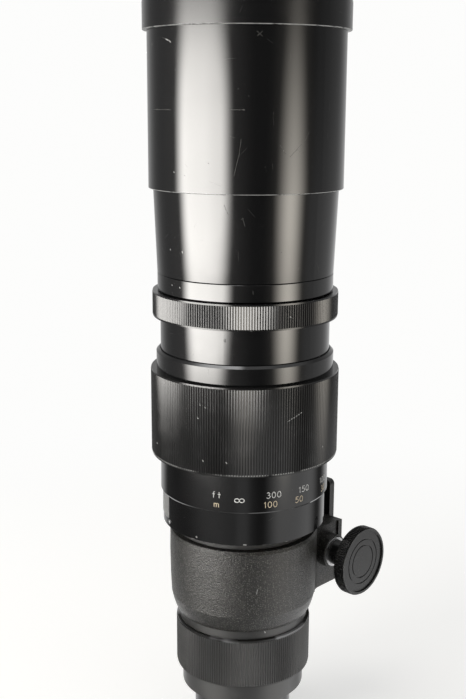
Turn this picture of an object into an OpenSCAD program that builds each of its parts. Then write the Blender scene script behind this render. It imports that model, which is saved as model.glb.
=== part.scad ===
// Super telephoto lens with a rotating tripod collar, a click aperture ring, a helicoid focus
// ring and a sliding hood. The optical axis is Z and the front of the lens points up. The foot of
// the tripod collar is towards +Y and its clamp knob towards +X. The origin is on the axis, at the
// end face of the threaded spigot that goes into the camera.

/* [Camera mount] */
// Outside radius of the threaded spigot
thread_r = 21; // [20:0.5:23]
// Length of the threaded spigot
thread_len = 5; // [4:0.5:6]
// Wall of the threaded spigot
thread_wall = 2; // [1.5:0.1:2.5]
// Radial width of the flange that seats on the camera
flange_w = 9; // [8:0.5:11]
// Thickness of the flange
flange_t = 2.5; // [2:0.1:3]

/* [Mount barrel] */
// Step from the flange out to the plain barrel behind the diaphragm section
mount_step = 4.1; // [3.5:0.1:5]
// Length of the plain barrel
mount_len = 24; // [20:1:30]
// Wall of the plain barrel
mount_wall = 2.5; // [2:0.1:2.8]
// Thickness of the end plate behind the flange
end_plate_t = 4; // [3:0.5:6]

/* [Diaphragm section] */
// Step from the rear barrel out to the fixed base ring
band_step = 0.7; // [0.5:0.1:1.5]
// Height of the fixed base ring
band_h = 15; // [12:0.5:18]
// Wall of the aperture ring, up to the crests of its knurl
apring_wall = 4.65; // [4:0.05:5.5]
// Height of the aperture ring
apring_h = 34.9; // [34.9:0.1:38]
// Number of ribs of the aperture ring
apring_ribs = 170; // [120:1:180]
// Number of iris blades
blade_count = 9; // [7:1:9]
// Inner radius of a blade, which is the wide open stop
blade_in_r = 22; // [20:0.1:24]
// Radial width of a blade
blade_w = 8; // [7.5:0.1:8]
// Thickness of a blade
blade_t = 0.3; // [0.2:0.05:0.32]
// Turn of the aperture ring from wide open to the smallest stop
apring_turn = 60; // [50:1:62]

/* [Tripod collar] */
// Height of the smooth neck ring below the collar
neck_h = 6.1; // [5:0.1:8]
// Step from the rear barrel out to the bearing that the collar turns on
bearing_step = 2.3; // [2:0.1:3]
// Step from the bearing out to the smooth neck ring
neck_step = 0.7; // [0.6:0.1:1.5]
// Thickness of the collar and its running gap, from the bearing to the largest radius
collar_wall = 7; // [6:0.1:8.5]
// Height of the collar
collar_h = 59.6; // [58:0.1:64]
// Half width of the cast block on the collar
block_half_w = 33; // [31:0.5:35]
// Distance from the clamp screw's axis to the outer face of the block
block_over = 14.9; // [12:0.1:17]
// Height of collar above the block
block_top_inset = 7.3; // [5:0.1:9]
// Height of the clamp screw above the bottom of the collar
clamp_h = 33.5; // [31:0.5:35]
// Distance from the collar's bore to the clamp screw's axis
clamp_space = 8.55; // [7.5:0.05:10]
// Radius of the clamp screw
clamp_screw_r = 4; // [3.5:0.1:4.3]

/* [Foot] */
// Length of the foot plate along the lens
foot_len = 80.7; // [78:0.1:84]
// Half width of the foot plate
foot_half_w = 22.5; // [21:0.1:24]
// Thickness of the foot plate
foot_t = 5; // [4:0.1:6]
// Radius of the large tripod thread
large_thread_r = 4.76; // [4.7:0.01:4.8]
// Radius of the small tripod thread
small_thread_r = 3.18; // [3.1:0.01:3.2]

/* [Clamp knob] */
// Radius over the knurl of the knob
knob_r = 24.2; // [22:0.1:25]
// Thickness of the knob's wheel
knob_t = 8.3; // [7:0.1:10]
// Radius of the knob's neck
knob_neck_r = 8.8; // [8:0.1:9.5]
// Length of the knob's neck
knob_neck_len = 17; // [16:0.1:19]
// Radius of the bright washer
washer_r = 10.5; // [10:0.1:11.5]
// Thickness of the bright washer
washer_t = 1; // [0.8:0.1:1.5]
// Height of the boss between the block and the washer
boss_h = 6.3; // [5:0.1:8]
// Number of ribs of the knob
knob_ribs = 96; // [60:1:110]

/* [Focus section] */
// Step from the bearing out to the dark recess between collar and index ring
recess_step = 2.5; // [2:0.1:3.5]
// Height of the dark recess
recess_h = 6.4; // [5:0.1:8]
// Wall of the fixed index ring
index_wall = 1.5; // [1.2:0.1:2]
// Height of the fixed index ring
index_h = 22.8; // [22:0.1:24]
// Wall of the distance scale ring
scale_wall = 1.8; // [1.6:0.1:2.4]
// Height of the distance scale ring
scale_h = 26.4; // [25:0.1:28]
// Wall of the focus grip, up to the crests of its knurl
grip_wall = 4.4; // [3.5:0.1:5.5]
// Height of the focus grip
grip_h = 58.5; // [57:0.1:60]
// Number of ribs of the focus grip
grip_ribs = 225; // [150:1:240]
// Wall of the bevelled lip ring
lip_wall = 2.55; // [2.4:0.05:3.5]
// Height of the lip ring
lip_h = 12.9; // [11:0.1:14]
// Turn of the focus ring from rest to infinity
turn_to_far = 106; // [90:1:110]
// Turn of the focus ring from rest to the closest distance
turn_to_near = 124; // [110:1:130]
// Slide of the head for a whole turn of the focus ring
lead = 41.17; // [36:0.01:42]

/* [Head] */
// Wall of the smooth head barrel
head_wall = 1.4; // [1.2:0.1:1.8]
// Length of head barrel that shows above the lip ring at rest
head_show = 22.5; // [20:0.1:25]
// Step from the head barrel out to the crests of the union ring's knurl
union_step = 5.2; // [4.5:0.1:6]
// Height of the union ring
union_h = 17.4; // [17:0.1:19]
// Number of ribs of the union ring
union_ribs = 230; // [150:1:240]
// Step from the head barrel out to the seat ring above the union ring
seat_step = 1.7; // [1.5:0.1:2.2]
// Height of the seat ring
seat_h = 11.8; // [11:0.1:13]
// Widening of the tapered barrel from the seat ring to where the extended hood ends
taper_step = 2.3; // [2:0.1:3]
// Length of tapered barrel that shows below the extended hood
taper_show = 54.6; // [52:0.1:58]
// Length of the tapered barrel's front part that lies inside the extended hood
taper_hidden = 31.6; // [31:0.1:36]

/* [Front optics] */
// Radius of curvature of the outermost surface
front_curve_r = 180; // [150:5:260]
// Wall of the front cell
cell_wall = 1.9; // [1.8:0.05:1.9]

/* [Hood] */
// Step from the tapered barrel out to the land that guides the hood
land_step = 0.9; // [0.7:0.1:1.5]
// Wall of the hood
hood_wall = 1.6; // [1.2:0.1:1.6]
// Length of the hood from its lower edge to the rim ring
hood_skirt = 98.1; // [90:0.1:110]
// Wall of the rim ring round the hood
rim_wall = 2.9; // [2.4:0.1:4]
// Height of the rim ring
rim_h = 19.6; // [16:0.1:24]

/* [Hidden] */
$fn = 96;
// Gap between parts that run past each other, between parts that fit in each other, and the
// overrun of a cut
run = 0.35;
fit = 0.05;
over = 1;

// Heights of the sections, stacked from the camera end
z_flange = thread_len;
z_mount = z_flange + flange_t;
z_band = z_mount + mount_len;
z_apring = z_band + band_h;
z_neck = z_apring + apring_h;
z_collar = z_neck + neck_h;
z_recess = z_collar + collar_h;
z_index = z_recess + recess_h;
z_scale = z_index + index_h;
z_grip = z_scale + scale_h;
z_lip = z_grip + grip_h;
z_lip_top = z_lip + lip_h;
z_union = z_lip_top + head_show;
z_seat = z_union + union_h;
z_taper = z_seat + seat_h;
z_hood = z_taper + taper_show;
z_rim = z_hood + hood_skirt;
z_top = z_rim + rim_h;

// Radii of the mount and the rear half, each from the one inside it
spigot_in_r = thread_r - thread_wall;
flange_r = thread_r + flange_w;
mount_r = flange_r + mount_step;
pivot_space = 3;
pivot_r = blade_in_r + blade_w + pivot_space;
iris_rim_w = 5.6;
rear_barrel_in_r = pivot_r + iris_rim_w;
barrel_wall = 3.6;
rear_barrel_r = rear_barrel_in_r + barrel_wall;
band_r = rear_barrel_r + band_step;
apring_in_r = rear_barrel_r + run;
apring_r = apring_in_r + apring_wall;
bearing_r = rear_barrel_r + bearing_step;
neck_r = bearing_r + neck_step;
collar_in_r = bearing_r + run;
collar_r = bearing_r + collar_wall;
recess_r = bearing_r + recess_step;
clamp_y = collar_in_r + clamp_space;
block_y = clamp_y + block_over;
washer_x = block_half_w + boss_h;

// Radii of the focus section and the head
bearing_wall = 4;
bore_r = bearing_r - bearing_wall;
throat_step = 9;
throat_r = bore_r + throat_step;
sleeve_ledge_w = 0.8;
sleeve_in_r = throat_r + sleeve_ledge_w;
sleeve_wall = 1.7;
sleeve_r = sleeve_in_r + sleeve_wall;
stop_space = 2.3;
index_in_r = sleeve_r + stop_space;
index_r = index_in_r + index_wall;
helicoid_gap = 0.4;
drive_in_r = sleeve_r + helicoid_gap;
drive_wall = 2.4;
drive_r = drive_in_r + drive_wall;
scale_space = 0.8;
scale_in_r = drive_r + scale_space;
scale_r = scale_in_r + scale_wall;
head_in_r = drive_r + helicoid_gap;
head_r = head_in_r + head_wall;
lip_in_r = head_r + run;
lip_r = lip_in_r + lip_wall;
grip_step = 0.5;
grip_in_r = lip_r - grip_step;
grip_r = grip_in_r + grip_wall;

// Radii of the front half and the hood
union_r = head_r + union_step;
seat_r = head_r + seat_step;
cell_r = seat_r;
front_glass_r = cell_r - cell_wall;
taper_r = seat_r + taper_step;
land_r = taper_r + land_step;
hood_gap = 0.4;
hood_in_r = land_r + hood_gap;
hood_r = hood_in_r + hood_wall;
rim_r = hood_r + rim_wall;

// Solid turned about the lens axis from an outline of [radius, height] points
module turned(outline) {
    rotate_extrude() polygon(outline);
}

module tube(r_out, r_in, z, h) {
    turned([[r_in, z], [r_out, z], [r_out, z + h], [r_in, z + h]]);
}

// Points of a straight knurl: each rib has a narrow crest and a shallow V groove beside it
crest_share = 0.12;
function knurl(count, r, depth) = [for (i = [0:count - 1])
    for (p = [[0, 0], [crest_share, 0], [(1 + crest_share) / 2, 1]])
        let (a = 360 * (i + p[0]) / count) (r - depth * p[1]) * [cos(a), sin(a)]];

// Knurled ring with a plain edge above and below the ribs
knurl_depth = 0.4;
knurl_edge = 1.1;
edge_drop = 0.25;
module knurled_ring(count, r, r_in, z, h) {
    translate([0, 0, z]) difference() {
        union() {
            cylinder(r = r - edge_drop, h = knurl_edge);
            cylinder(r = r - knurl_depth - edge_drop, h = h);
            translate([0, 0, knurl_edge])
                linear_extrude(h - 2 * knurl_edge) polygon(knurl(count, r, knurl_depth));
            translate([0, 0, h - knurl_edge]) cylinder(r = r - edge_drop, h = knurl_edge);
        }
        translate([0, 0, -over]) cylinder(r = r_in, h = h + 2 * over);
    }
}

// Slotted countersunk screw along -Z: its head is flush with z = 0 and its shank goes down
module countersunk(head_r, head_h, shank_r, len) {
    difference() {
        union() {
            translate([0, 0, -head_h]) cylinder(r1 = shank_r, r2 = head_r, h = head_h);
            translate([0, 0, -len]) cylinder(r = shank_r, h = len - head_h);
        }
        driver_slot(head_r, head_h / 2);
    }
}

// Cut for a driver's blade across the top of a screw at z = 0
slot_w_share = 0.3;
module driver_slot(r, depth) {
    w = 2 * r * slot_w_share;
    translate([-r - over, -w / 2, -depth]) cube([2 * (r + over), w, depth + over]);
}

// Headless screw that stands on z = 0, with a slot in its top
module headless(r, len) {
    difference() {
        cylinder(r = r, h = len);
        translate([0, 0, len]) driver_slot(r, r);
    }
}

// Hole for such a screw
module countersink(head_r, head_h, shank_r, len) {
    translate([0, 0, -head_h]) cylinder(r1 = shank_r + fit, r2 = head_r + fit, h = head_h);
    translate([0, 0, -len - fit]) cylinder(r = shank_r + fit, h = len - head_h + 2 * fit);
    translate([0, 0, -fit / 2]) cylinder(r = head_r + fit, h = over);
}

module around(count, r, first = 0) {
    for (i = [0:count - 1]) rotate([0, 0, first + 360 * i / count]) translate([r, 0, 0]) children();
}

// Camera mount

mount_screw_circle_r = (thread_r + flange_r) / 2;
mount_screw_head_r = 2.4;
mount_screw_head_h = 1.2;
mount_screw_r = 1.25;
mount_screw_len = 5.4;
mount_screw_count = 4;
pilot_lip_w = 1.4;
pilot_r = spigot_in_r + pilot_lip_w;

module camera_mount() {
    color("silver") difference() {
        turned([[spigot_in_r, 0], [thread_r, 0], [thread_r, z_flange], [flange_r, z_flange],
            [flange_r, z_mount], [pilot_r, z_mount], [pilot_r, z_mount + end_plate_t],
            [spigot_in_r, z_mount + end_plate_t]]);
        around(mount_screw_count, mount_screw_circle_r) translate([0, 0, z_flange]) rotate([180, 0, 0])
            countersink(mount_screw_head_r, mount_screw_head_h, mount_screw_r, mount_screw_len);
    }
}

module mount_screws() {
    color("dimgray") around(mount_screw_count, mount_screw_circle_r)
        translate([0, 0, z_flange]) rotate([180, 0, 0])
            countersunk(mount_screw_head_r, mount_screw_head_h, mount_screw_r, mount_screw_len);
}

// Mount barrel, with a pilot at its top that centres the base ring

mount_in_r = mount_r - mount_wall;
pilot_wall = 2;
base_plate_t = 3;

module mount_barrel() {
    color("#161616") difference() {
        turned([[pilot_r + fit, z_mount], [mount_r, z_mount], [mount_r, z_band],
            [mount_in_r - fit, z_band], [mount_in_r - fit, z_band + base_plate_t],
            [mount_in_r - pilot_wall, z_band + base_plate_t],
            [mount_in_r - pilot_wall, z_band - mount_wall], [mount_in_r, z_band - 2 * mount_wall],
            [mount_in_r, z_mount + end_plate_t], [pilot_r + fit, z_mount + end_plate_t]]);
        around(mount_screw_count, mount_screw_circle_r) translate([0, 0, z_mount - over])
            cylinder(r = mount_screw_r + fit, h = mount_screw_len + over);
    }
}

// Stamped light baffle that rests in the mount barrel, on its end plate
baffle_t = 1;
baffle_rise = 9;
module mount_baffle() {
    color("#0a0a0a") {
        tube(mount_in_r - fit, mount_in_r - baffle_t, z_mount + end_plate_t, baffle_rise);
        tube(mount_in_r - baffle_t, spigot_in_r, z_mount + end_plate_t + baffle_rise - baffle_t, baffle_t);
    }
}

// Base ring, the fixed end of the diaphragm section

base_pilot_r = rear_barrel_r - barrel_wall / 2;

module base_ring() {
    color("#141414")
        turned([[mount_in_r, z_band], [band_r, z_band], [band_r, z_apring - run],
            [base_pilot_r + fit, z_apring - run], [base_pilot_r + fit, z_band + base_plate_t],
            [mount_in_r, z_band + base_plate_t]]);
}

// Iris: a plate with pivot pins, blades in levels, a cam ring over them and a ring that keeps it

pin_r = 0.9;
lug_r = 2.2;
lug_neck_half_w = 1.8;
arm_end_r = 1.65;
arm_half_w = 1.3;
pin_arm = 7.5;
blade_arc = 100;
smallest_stop_r = 2.5;
level_gap = 0.1;
plate_t = 2;
cam_t = 2;
keep_t = 1.6;
ledge_t = 3;
ledge_w = 2.6;
plate_step = 0.5;
cam_step = 1.5;
iris_rise = 9.5;
swing = 2 * asin((blade_in_r - smallest_stop_r) / (2 * pivot_r));
arm_start = -90 - swing / 2;
rest_share = 1 / 3;
z_iris = z_apring + iris_rise;
z_blades = z_iris + plate_t + level_gap;
z_cam = z_blades + blade_count * (blade_t + level_gap) + 2 * level_gap;
z_keep = z_cam + cam_t + run;

// Place of a blade's drive pin when the ring has turned by the given share of its travel
function drive_pin(share) = [pivot_r, 0]
    + pin_arm * [cos(arm_start + swing * share), sin(arm_start + swing * share)];
function turned_by(p, a) = [p[0] * cos(a) - p[1] * sin(a), p[0] * sin(a) + p[1] * cos(a)];
function cam_point(share) = turned_by(drive_pin(share), -apring_turn * (share - rest_share));
cam_steps = 14;
cam_slot_gap = 0.15;
slot_half_w = pin_r + cam_slot_gap;
nudge_share = 0.01;
function cam_side(side) = [for (k = [0:cam_steps])
    let (share = k / cam_steps, d = cam_point(share + nudge_share) - cam_point(share - nudge_share),
         across = [-d[1], d[0]] / norm(d)) cam_point(share) + side * slot_half_w * across];
function reversed(list) = [for (k = [len(list) - 1:-1:0]) list[k]];

module iris_plate() {
    color("#202020") {
        tube(rear_barrel_in_r - fit, blade_in_r + plate_step, z_iris, plate_t);
        around(blade_count, pivot_r) translate([0, 0, z_iris + plate_t / 2])
            cylinder(r = pin_r, h = z_cam - z_iris - plate_t / 2 - 2 * level_gap);
    }
}

// Points of a half circle round p, from the given angle on
end_steps = 6;
function half_circle(p, r, from) = [for (k = [0:end_steps])
    p + r * [cos(from + 180 * k / end_steps), sin(from + 180 * k / end_steps)]];

// Blade outline: a curved band with a round end at its pivot and a round tip
band_steps = 20;
function band_side(r) = [for (k = [1:band_steps - 1])
    r * [cos(blade_arc * k / band_steps), sin(blade_arc * k / band_steps)]];
module blade_body() {
    mid_r = blade_in_r + blade_w / 2;
    linear_extrude(blade_t)
        polygon(concat(half_circle([mid_r, 0], blade_w / 2, 180), band_side(blade_in_r + blade_w),
            half_circle(mid_r * [cos(blade_arc), sin(blade_arc)], blade_w / 2, blade_arc),
            reversed(band_side(blade_in_r))));
}

module iris_blade(index) {
    level = z_blades + (index - 1) * (blade_t + level_gap);
    arm = drive_pin(0);
    color("#3a3a3c") rotate([0, 0, 360 * (index - 1) / blade_count])
        translate([pivot_r, 0, level]) rotate([0, 0, swing * rest_share]) translate([-pivot_r, 0, 0])
            difference() {
                union() {
                    blade_body();
                    translate([pivot_r, 0, 0]) cylinder(r = lug_r, h = blade_t);
                    translate([pivot_r - 2 * lug_r, -lug_neck_half_w, 0])
                        cube([2 * lug_r, 2 * lug_neck_half_w, blade_t]);
                    translate(arm) cylinder(r = arm_end_r, h = blade_t);
                    translate([pivot_r, 0, 0]) rotate([0, 0, arm_start])
                        translate([0, -arm_half_w, 0]) cube([pin_arm, 2 * arm_half_w, blade_t]);
                    translate(arm) cylinder(r = pin_r, h = z_cam + cam_t - level_gap - level);
                }
                translate([pivot_r, 0, -over]) cylinder(r = pin_r + fit, h = blade_t + 2 * over);
            }
}

tab_w = 6;
tab_inset = 1.1;
tab_depth = 2.1;
tab_t = 1.6;
cam_r = rear_barrel_in_r - run;
tab_angle = 180;

module tab_block(grow) {
    rotate([0, 0, tab_angle])
        translate([cam_r - tab_inset - grow, -tab_w / 2 - grow, z_cam + (cam_t - tab_t) / 2 - grow])
            cube([rear_barrel_r + run + tab_depth - cam_r + tab_inset + 2 * grow,
                tab_w + 2 * grow, tab_t + 2 * grow]);
}

module cam_ring() {
    color("#4a4a4c") difference() {
        tube(cam_r, blade_in_r + cam_step, z_cam, cam_t);
        for (i = [0:blade_count - 1]) rotate([0, 0, 360 * i / blade_count])
            translate([0, 0, z_cam - over]) {
                linear_extrude(cam_t + 2 * over)
                    polygon(concat(cam_side(1), reversed(cam_side(-1))));
                for (s = [0, 1]) translate(cam_point(s)) cylinder(r = slot_half_w, h = cam_t + 2 * over);
            }
        tab_block(fit);
    }
}

module aperture_drive_tab() {
    color("silver") tab_block(0);
}

module iris_retaining_ring() {
    color("#202020") tube(rear_barrel_in_r - fit, blade_in_r + cam_step, z_keep, keep_t);
}

// Aperture ring: knurled outside, with a keyway for the drive tab and a click track inside

ball_r = 1.2;
ball_inset = 0.6;
ball_place_r = rear_barrel_r - ball_inset;
ball_drop = 6.55;
z_ball = z_neck - ball_drop;
spring_r = 1;
pocket_floor = 0.25;
track_depth = 0.6;
track_h = 3;
click_count = 7;
stop_step = apring_turn / (click_count - 1);

module aperture_ring() {
    color("#1b1b1b") difference() {
        knurled_ring(apring_ribs, apring_r, apring_in_r, z_apring, apring_h - run);
        rotate([0, 0, tab_angle])
            translate([apring_in_r - over, -tab_w / 2 - fit, z_cam + (cam_t - tab_t) / 2 - fit])
                cube([tab_depth + over + 2 * fit, tab_w + 2 * fit, apring_h]);
        translate([0, 0, z_ball - track_h / 2]) cylinder(r = apring_in_r + track_depth, h = track_h);
        for (i = [0:click_count - 1])
            rotate([0, 0, apring_turn * rest_share - stop_step * i])
                translate([apring_in_r + track_depth - ball_r / 2, 0, z_ball - ball_r])
                    cylinder(r = ball_r, h = 2 * ball_r);
    }
}

module click_ball() {
    color("silver") translate([ball_place_r, 0, z_ball]) sphere(r = ball_r);
}

module click_spring() {
    seat = rear_barrel_in_r + pocket_floor + fit;
    color("silver") translate([seat, 0, z_ball]) rotate([0, 90, 0])
        cylinder(r = spring_r, h = ball_place_r - ball_r - seat);
}

// Rear barrel: diaphragm housing, collar bearing and the flange that the focus section stands on

seat_flange_t = 5;
throat_floor = 1.5;
bore_step_space = 1;
drive_slot_gap = 0.2;
spare_angle = 1;

module rear_barrel() {
    z_bottom = z_band + base_plate_t;
    slot_low = -apring_turn * rest_share;
    slot_high = apring_turn * (1 - rest_share);
    tab_reach = asin(tab_w / 2 / rear_barrel_in_r) + spare_angle;
    z_bore = z_keep + keep_t + bore_step_space;
    z_throat = z_index + throat_floor;
    color("#101010") difference() {
        turned([[rear_barrel_in_r, z_bottom], [base_pilot_r, z_bottom], [base_pilot_r, z_apring - run],
            [rear_barrel_r, z_apring - run], [rear_barrel_r, z_collar], [bearing_r, z_collar],
            [bearing_r, z_recess], [recess_r, z_recess], [recess_r, z_index],
            [index_in_r - fit, z_index], [index_in_r - fit, z_index + seat_flange_t],
            [throat_r, z_index + seat_flange_t], [throat_r, z_throat],
            [bore_r, z_throat - throat_r + bore_r], [bore_r, z_bore], [rear_barrel_in_r, z_bore],
            [rear_barrel_in_r, z_iris], [rear_barrel_in_r - ledge_w, z_iris],
            [rear_barrel_in_r - ledge_w, z_iris - ledge_t], [rear_barrel_in_r, z_iris - ledge_t]]);
        rotate([0, 0, tab_angle + slot_low - tab_reach])
            rotate_extrude(angle = slot_high - slot_low + 2 * tab_reach)
                translate([rear_barrel_in_r - over, z_cam - drive_slot_gap])
                    square([barrel_wall + 2 * over, cam_t + 2 * drive_slot_gap]);
        translate([rear_barrel_in_r + pocket_floor, 0, z_ball]) rotate([0, 90, 0])
            cylinder(r = ball_r + fit, h = barrel_wall + over);
        around(helicoid_screw_count, helicoid_screw_circle_r)
            translate([0, 0, z_sleeve - helicoid_screw_hole])
                cylinder(r = helicoid_screw_r + fit, h = helicoid_screw_hole + over);
    }
}

module neck_ring() {
    color("#121212") tube(neck_r, rear_barrel_r + fit, z_neck, neck_h - run);
}

index_chamfer = 0.4;
module index_ring() {
    color("#111111")
        turned([[index_in_r, z_index], [index_r - index_chamfer, z_index], [index_r, z_index + index_chamfer],
            [index_r, z_scale - run], [index_in_r, z_scale - run]]);
}

// Fixed helicoid sleeve, screwed on the rear barrel's flange, with two keys near its top

sleeve_flange_t = 3.5;
z_sleeve = z_index + seat_flange_t;
sleeve_recess = 3.2;
sleeve_top = z_lip - sleeve_recess;
helicoid_screw_count = 6;
helicoid_screw_inset = 1.9;
helicoid_screw_circle_r = index_in_r - helicoid_screw_inset;
helicoid_screw_r = 0.8;
helicoid_screw_head_r = 1.5;
helicoid_screw_head_h = 0.9;
helicoid_screw_len = 6.8;
helicoid_screw_hole = helicoid_screw_len - sleeve_flange_t + fit;
key_w = 8;
key_h = 14;
key_space = 4;
key_inset = 0.3;
z_key = sleeve_top - key_space - key_h;
key_angles = [0, 180];

module fixed_helicoid() {
    color("#8a7440") difference() {
        turned([[sleeve_in_r, z_sleeve], [index_in_r - fit, z_sleeve],
            [index_in_r - fit, z_sleeve + sleeve_flange_t], [sleeve_r, z_sleeve + sleeve_flange_t],
            [sleeve_r, sleeve_top], [sleeve_in_r, sleeve_top]]);
        around(helicoid_screw_count, helicoid_screw_circle_r)
            translate([0, 0, z_sleeve + sleeve_flange_t])
                countersink(helicoid_screw_head_r, helicoid_screw_head_h, helicoid_screw_r,
                    helicoid_screw_len);
        for (a = key_angles) rotate([0, 0, a]) key_block(fit);
    }
}

module helicoid_screws() {
    color("silver") around(helicoid_screw_count, helicoid_screw_circle_r)
        translate([0, 0, z_sleeve + sleeve_flange_t])
            countersunk(helicoid_screw_head_r, helicoid_screw_head_h, helicoid_screw_r, helicoid_screw_len);
}

module key_block(grow) {
    translate([key_tube_r - key_depth, -key_w / 2 - grow, z_key - grow])
        cube([sleeve_r - key_inset - key_tube_r + key_depth + grow, key_w + 2 * grow, key_h + 2 * grow]);
}

module guide_keys() {
    color("#b08d3c") for (a = key_angles) rotate([0, 0, a]) key_block(0);
}

// Focus stop: a block on the sleeve's flange that a lug of the drive helicoid meets at both ends

stop_w = 5;
stop_top_space = 4.8;
stop_h = z_scale - stop_top_space - z_sleeve - sleeve_flange_t;
stop_angle = 45;
stop_gap = 0.35;
lug_h = 10;
lug_gap = 0.5;
drive_space = 1.5;
lug_low = z_scale + drive_space - lug_h;

module focus_stop() {
    color("silver") rotate([0, 0, stop_angle])
        translate([sleeve_r + stop_gap, -stop_w / 2, z_sleeve + sleeve_flange_t])
            cube([index_in_r - sleeve_r - 2 * stop_gap, stop_w, stop_h]);
}

// Focus ring: drive helicoid, scale ring, grip and lip ring turn as one

drive_flange_drop = 4.7;
drive_flange_t = 10;
drive_top_space = 3;
z_drive_flange = z_grip - drive_flange_drop;
set_screw_r = 1.2;
set_screw_len = 5;
set_screw_count = 2;
set_screw_h = 2.6;

module drive_helicoid() {
    free_arc = turn_to_far + turn_to_near + 2 * asin(stop_w / 2 / sleeve_r)
        + 2 * spare_angle;
    color("#a08038") {
        difference() {
            turned([[drive_in_r, z_scale + drive_space], [drive_r, z_scale + drive_space],
                [drive_r, z_drive_flange],
                [scale_in_r - fit, z_drive_flange], [scale_in_r - fit, z_grip], [grip_in_r - fit, z_grip],
                [grip_in_r - fit, z_drive_flange + drive_flange_t],
                [drive_r, z_drive_flange + drive_flange_t], [drive_r, sleeve_top - drive_top_space],
                [drive_in_r, sleeve_top - drive_top_space]]);
            set_screw_places() translate([0, 0, -set_screw_depth])
                cylinder(r = set_screw_r + fit, h = set_screw_depth + over);
        }
        rotate([0, 0, stop_angle + turn_to_near + free_arc / 2 - (turn_to_far + turn_to_near) / 2])
            rotate_extrude(angle = 360 - free_arc) translate([drive_in_r, lug_low])
                square([index_in_r - lug_gap - drive_in_r, lug_h + over]);
    }
}

// Places of the radial set screws, each with +Z pointing outwards at the seat in the flange
set_screw_depth = 2;
set_screw_angle = 48;
module set_screw_places() {
    around(set_screw_count, grip_in_r - fit, set_screw_angle) translate([0, 0, z_grip + set_screw_h])
        rotate([0, 90, 0]) children();
}

module focus_grip() {
    color("#1c1c1c") difference() {
        knurled_ring(grip_ribs, grip_r, grip_in_r, z_grip, grip_h);
        set_screw_places() translate([0, 0, -over]) cylinder(r = set_screw_r + fit, h = grip_r);
    }
}

module grip_set_screws() {
    color("dimgray") set_screw_places() translate([0, 0, -set_screw_depth])
        headless(set_screw_r, set_screw_len);
}

scale_chamfer_w = 0.5;
scale_chamfer_h = 0.8;
scale_draft = 0.2;
module scale_ring() {
    color("#141414")
        turned([[scale_in_r, z_scale], [scale_r - scale_chamfer_w, z_scale],
            [scale_r, z_scale + scale_chamfer_h], [scale_r - scale_draft, z_grip], [scale_in_r, z_grip]]);
}

lip_spigot_h = 6;
lip_bevel = 1.6;
module lip_ring() {
    color("#131313")
        turned([[lip_in_r, z_lip - lip_spigot_h], [grip_in_r - fit, z_lip - lip_spigot_h],
            [grip_in_r - fit, z_lip], [lip_r, z_lip], [lip_r, z_lip_top - lip_bevel],
            [lip_r - lip_bevel, z_lip_top], [lip_in_r, z_lip_top]]);
}

// Head: the barrel that slides, the key tube inside it and the rear lens tube below that

skirt_space = 1.7;
skirt_low = z_drive_flange + drive_flange_t + lead * turn_to_far / 360 + skirt_space;
union_thread_rise = 1;
union_thread_r = head_r + union_thread_rise;
union_lip_h = 3.4;
union_top_h = 3.1;
shoulder_h = 2.6;
shoulder_gap = 0.3;
union_thread_h = union_h - union_lip_h - union_top_h - shoulder_h - shoulder_gap;
z_union_thread = z_union + union_lip_h;
key_tube_r = sleeve_in_r - helicoid_gap;
key_tube_wall = 1.7;
key_tube_rise = 18.5;
key_tube_drop = 4.6;
key_tube_low = z_index + key_tube_rise;
key_tube_top = z_union - key_tube_drop;
key_depth = 1.5;
key_gap = 0.3;
key_end_space = 1;
key_flange_t = 4;
key_screw_count = 3;
key_screw_r = 1;

module head_barrel() {
    color("#0f0f0f") difference() {
        turned([[head_in_r, skirt_low], [head_r, skirt_low], [head_r, z_union_thread],
            [union_thread_r, z_union_thread], [union_thread_r, z_union_thread + union_thread_h],
            [head_in_r, z_union_thread + union_thread_h]]);
        key_tube_screw_places() translate([0, 0, -over])
            cylinder(r = key_screw_r + fit, h = head_r);
    }
}

module key_tube_screw_places() {
    around(key_screw_count, head_in_r - fit, key_screw_angle)
        translate([0, 0, key_tube_top - key_flange_t / 2]) rotate([0, 90, 0]) children();
}

key_screw_depth = 3;
key_screw_angle = 60;
module key_tube() {
    slot_low = z_key - lead * turn_to_near / 360 - key_end_space;
    slot_high = z_key + key_h + lead * turn_to_far / 360 + key_end_space;
    color("#202022") difference() {
        turned([[key_tube_r - key_tube_wall, key_tube_low], [key_tube_r, key_tube_low],
            [key_tube_r, key_tube_top - key_flange_t], [head_in_r - fit, key_tube_top - key_flange_t],
            [head_in_r - fit, key_tube_top], [key_tube_r - key_tube_wall, key_tube_top]]);
        for (a = key_angles) rotate([0, 0, a])
            translate([key_tube_r - key_tube_wall - over, -key_w / 2 - key_gap, slot_low])
                cube([key_tube_wall + 2 * over, key_w + 2 * key_gap, slot_high - slot_low]);
        key_tube_screw_places() translate([0, 0, -key_screw_depth])
            cylinder(r = key_screw_r + fit, h = key_screw_depth + over);
    }
}

module key_tube_screws() {
    color("dimgray") key_tube_screw_places() translate([0, 0, -key_screw_depth])
        headless(key_screw_r, key_screw_depth + head_r - head_in_r);
}

lens_tube_space = 4.5;
lens_tube_r = bore_r - lens_tube_space;
lens_tube_wall = 1.5;
lens_tube_rise = 16;
lens_tube_low = z_keep + keep_t + lens_tube_rise;
cone_rise = 6.5;
cone_low = z_index + cone_rise;
cone_step = 0.6;
tube_joint_h = 5;
module rear_lens_tube() {
    joint_r = key_tube_r - key_tube_wall - fit;
    color("#0c0c0c")
        turned([[lens_tube_r - lens_tube_wall, lens_tube_low], [lens_tube_r, lens_tube_low],
            [lens_tube_r, cone_low], [joint_r, key_tube_low], [joint_r, key_tube_low + tube_joint_h],
            [joint_r - lens_tube_wall, key_tube_low + tube_joint_h],
            [joint_r - lens_tube_wall, key_tube_low + cone_step],
            [lens_tube_r - lens_tube_wall, cone_low + cone_step]]);
}

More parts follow.
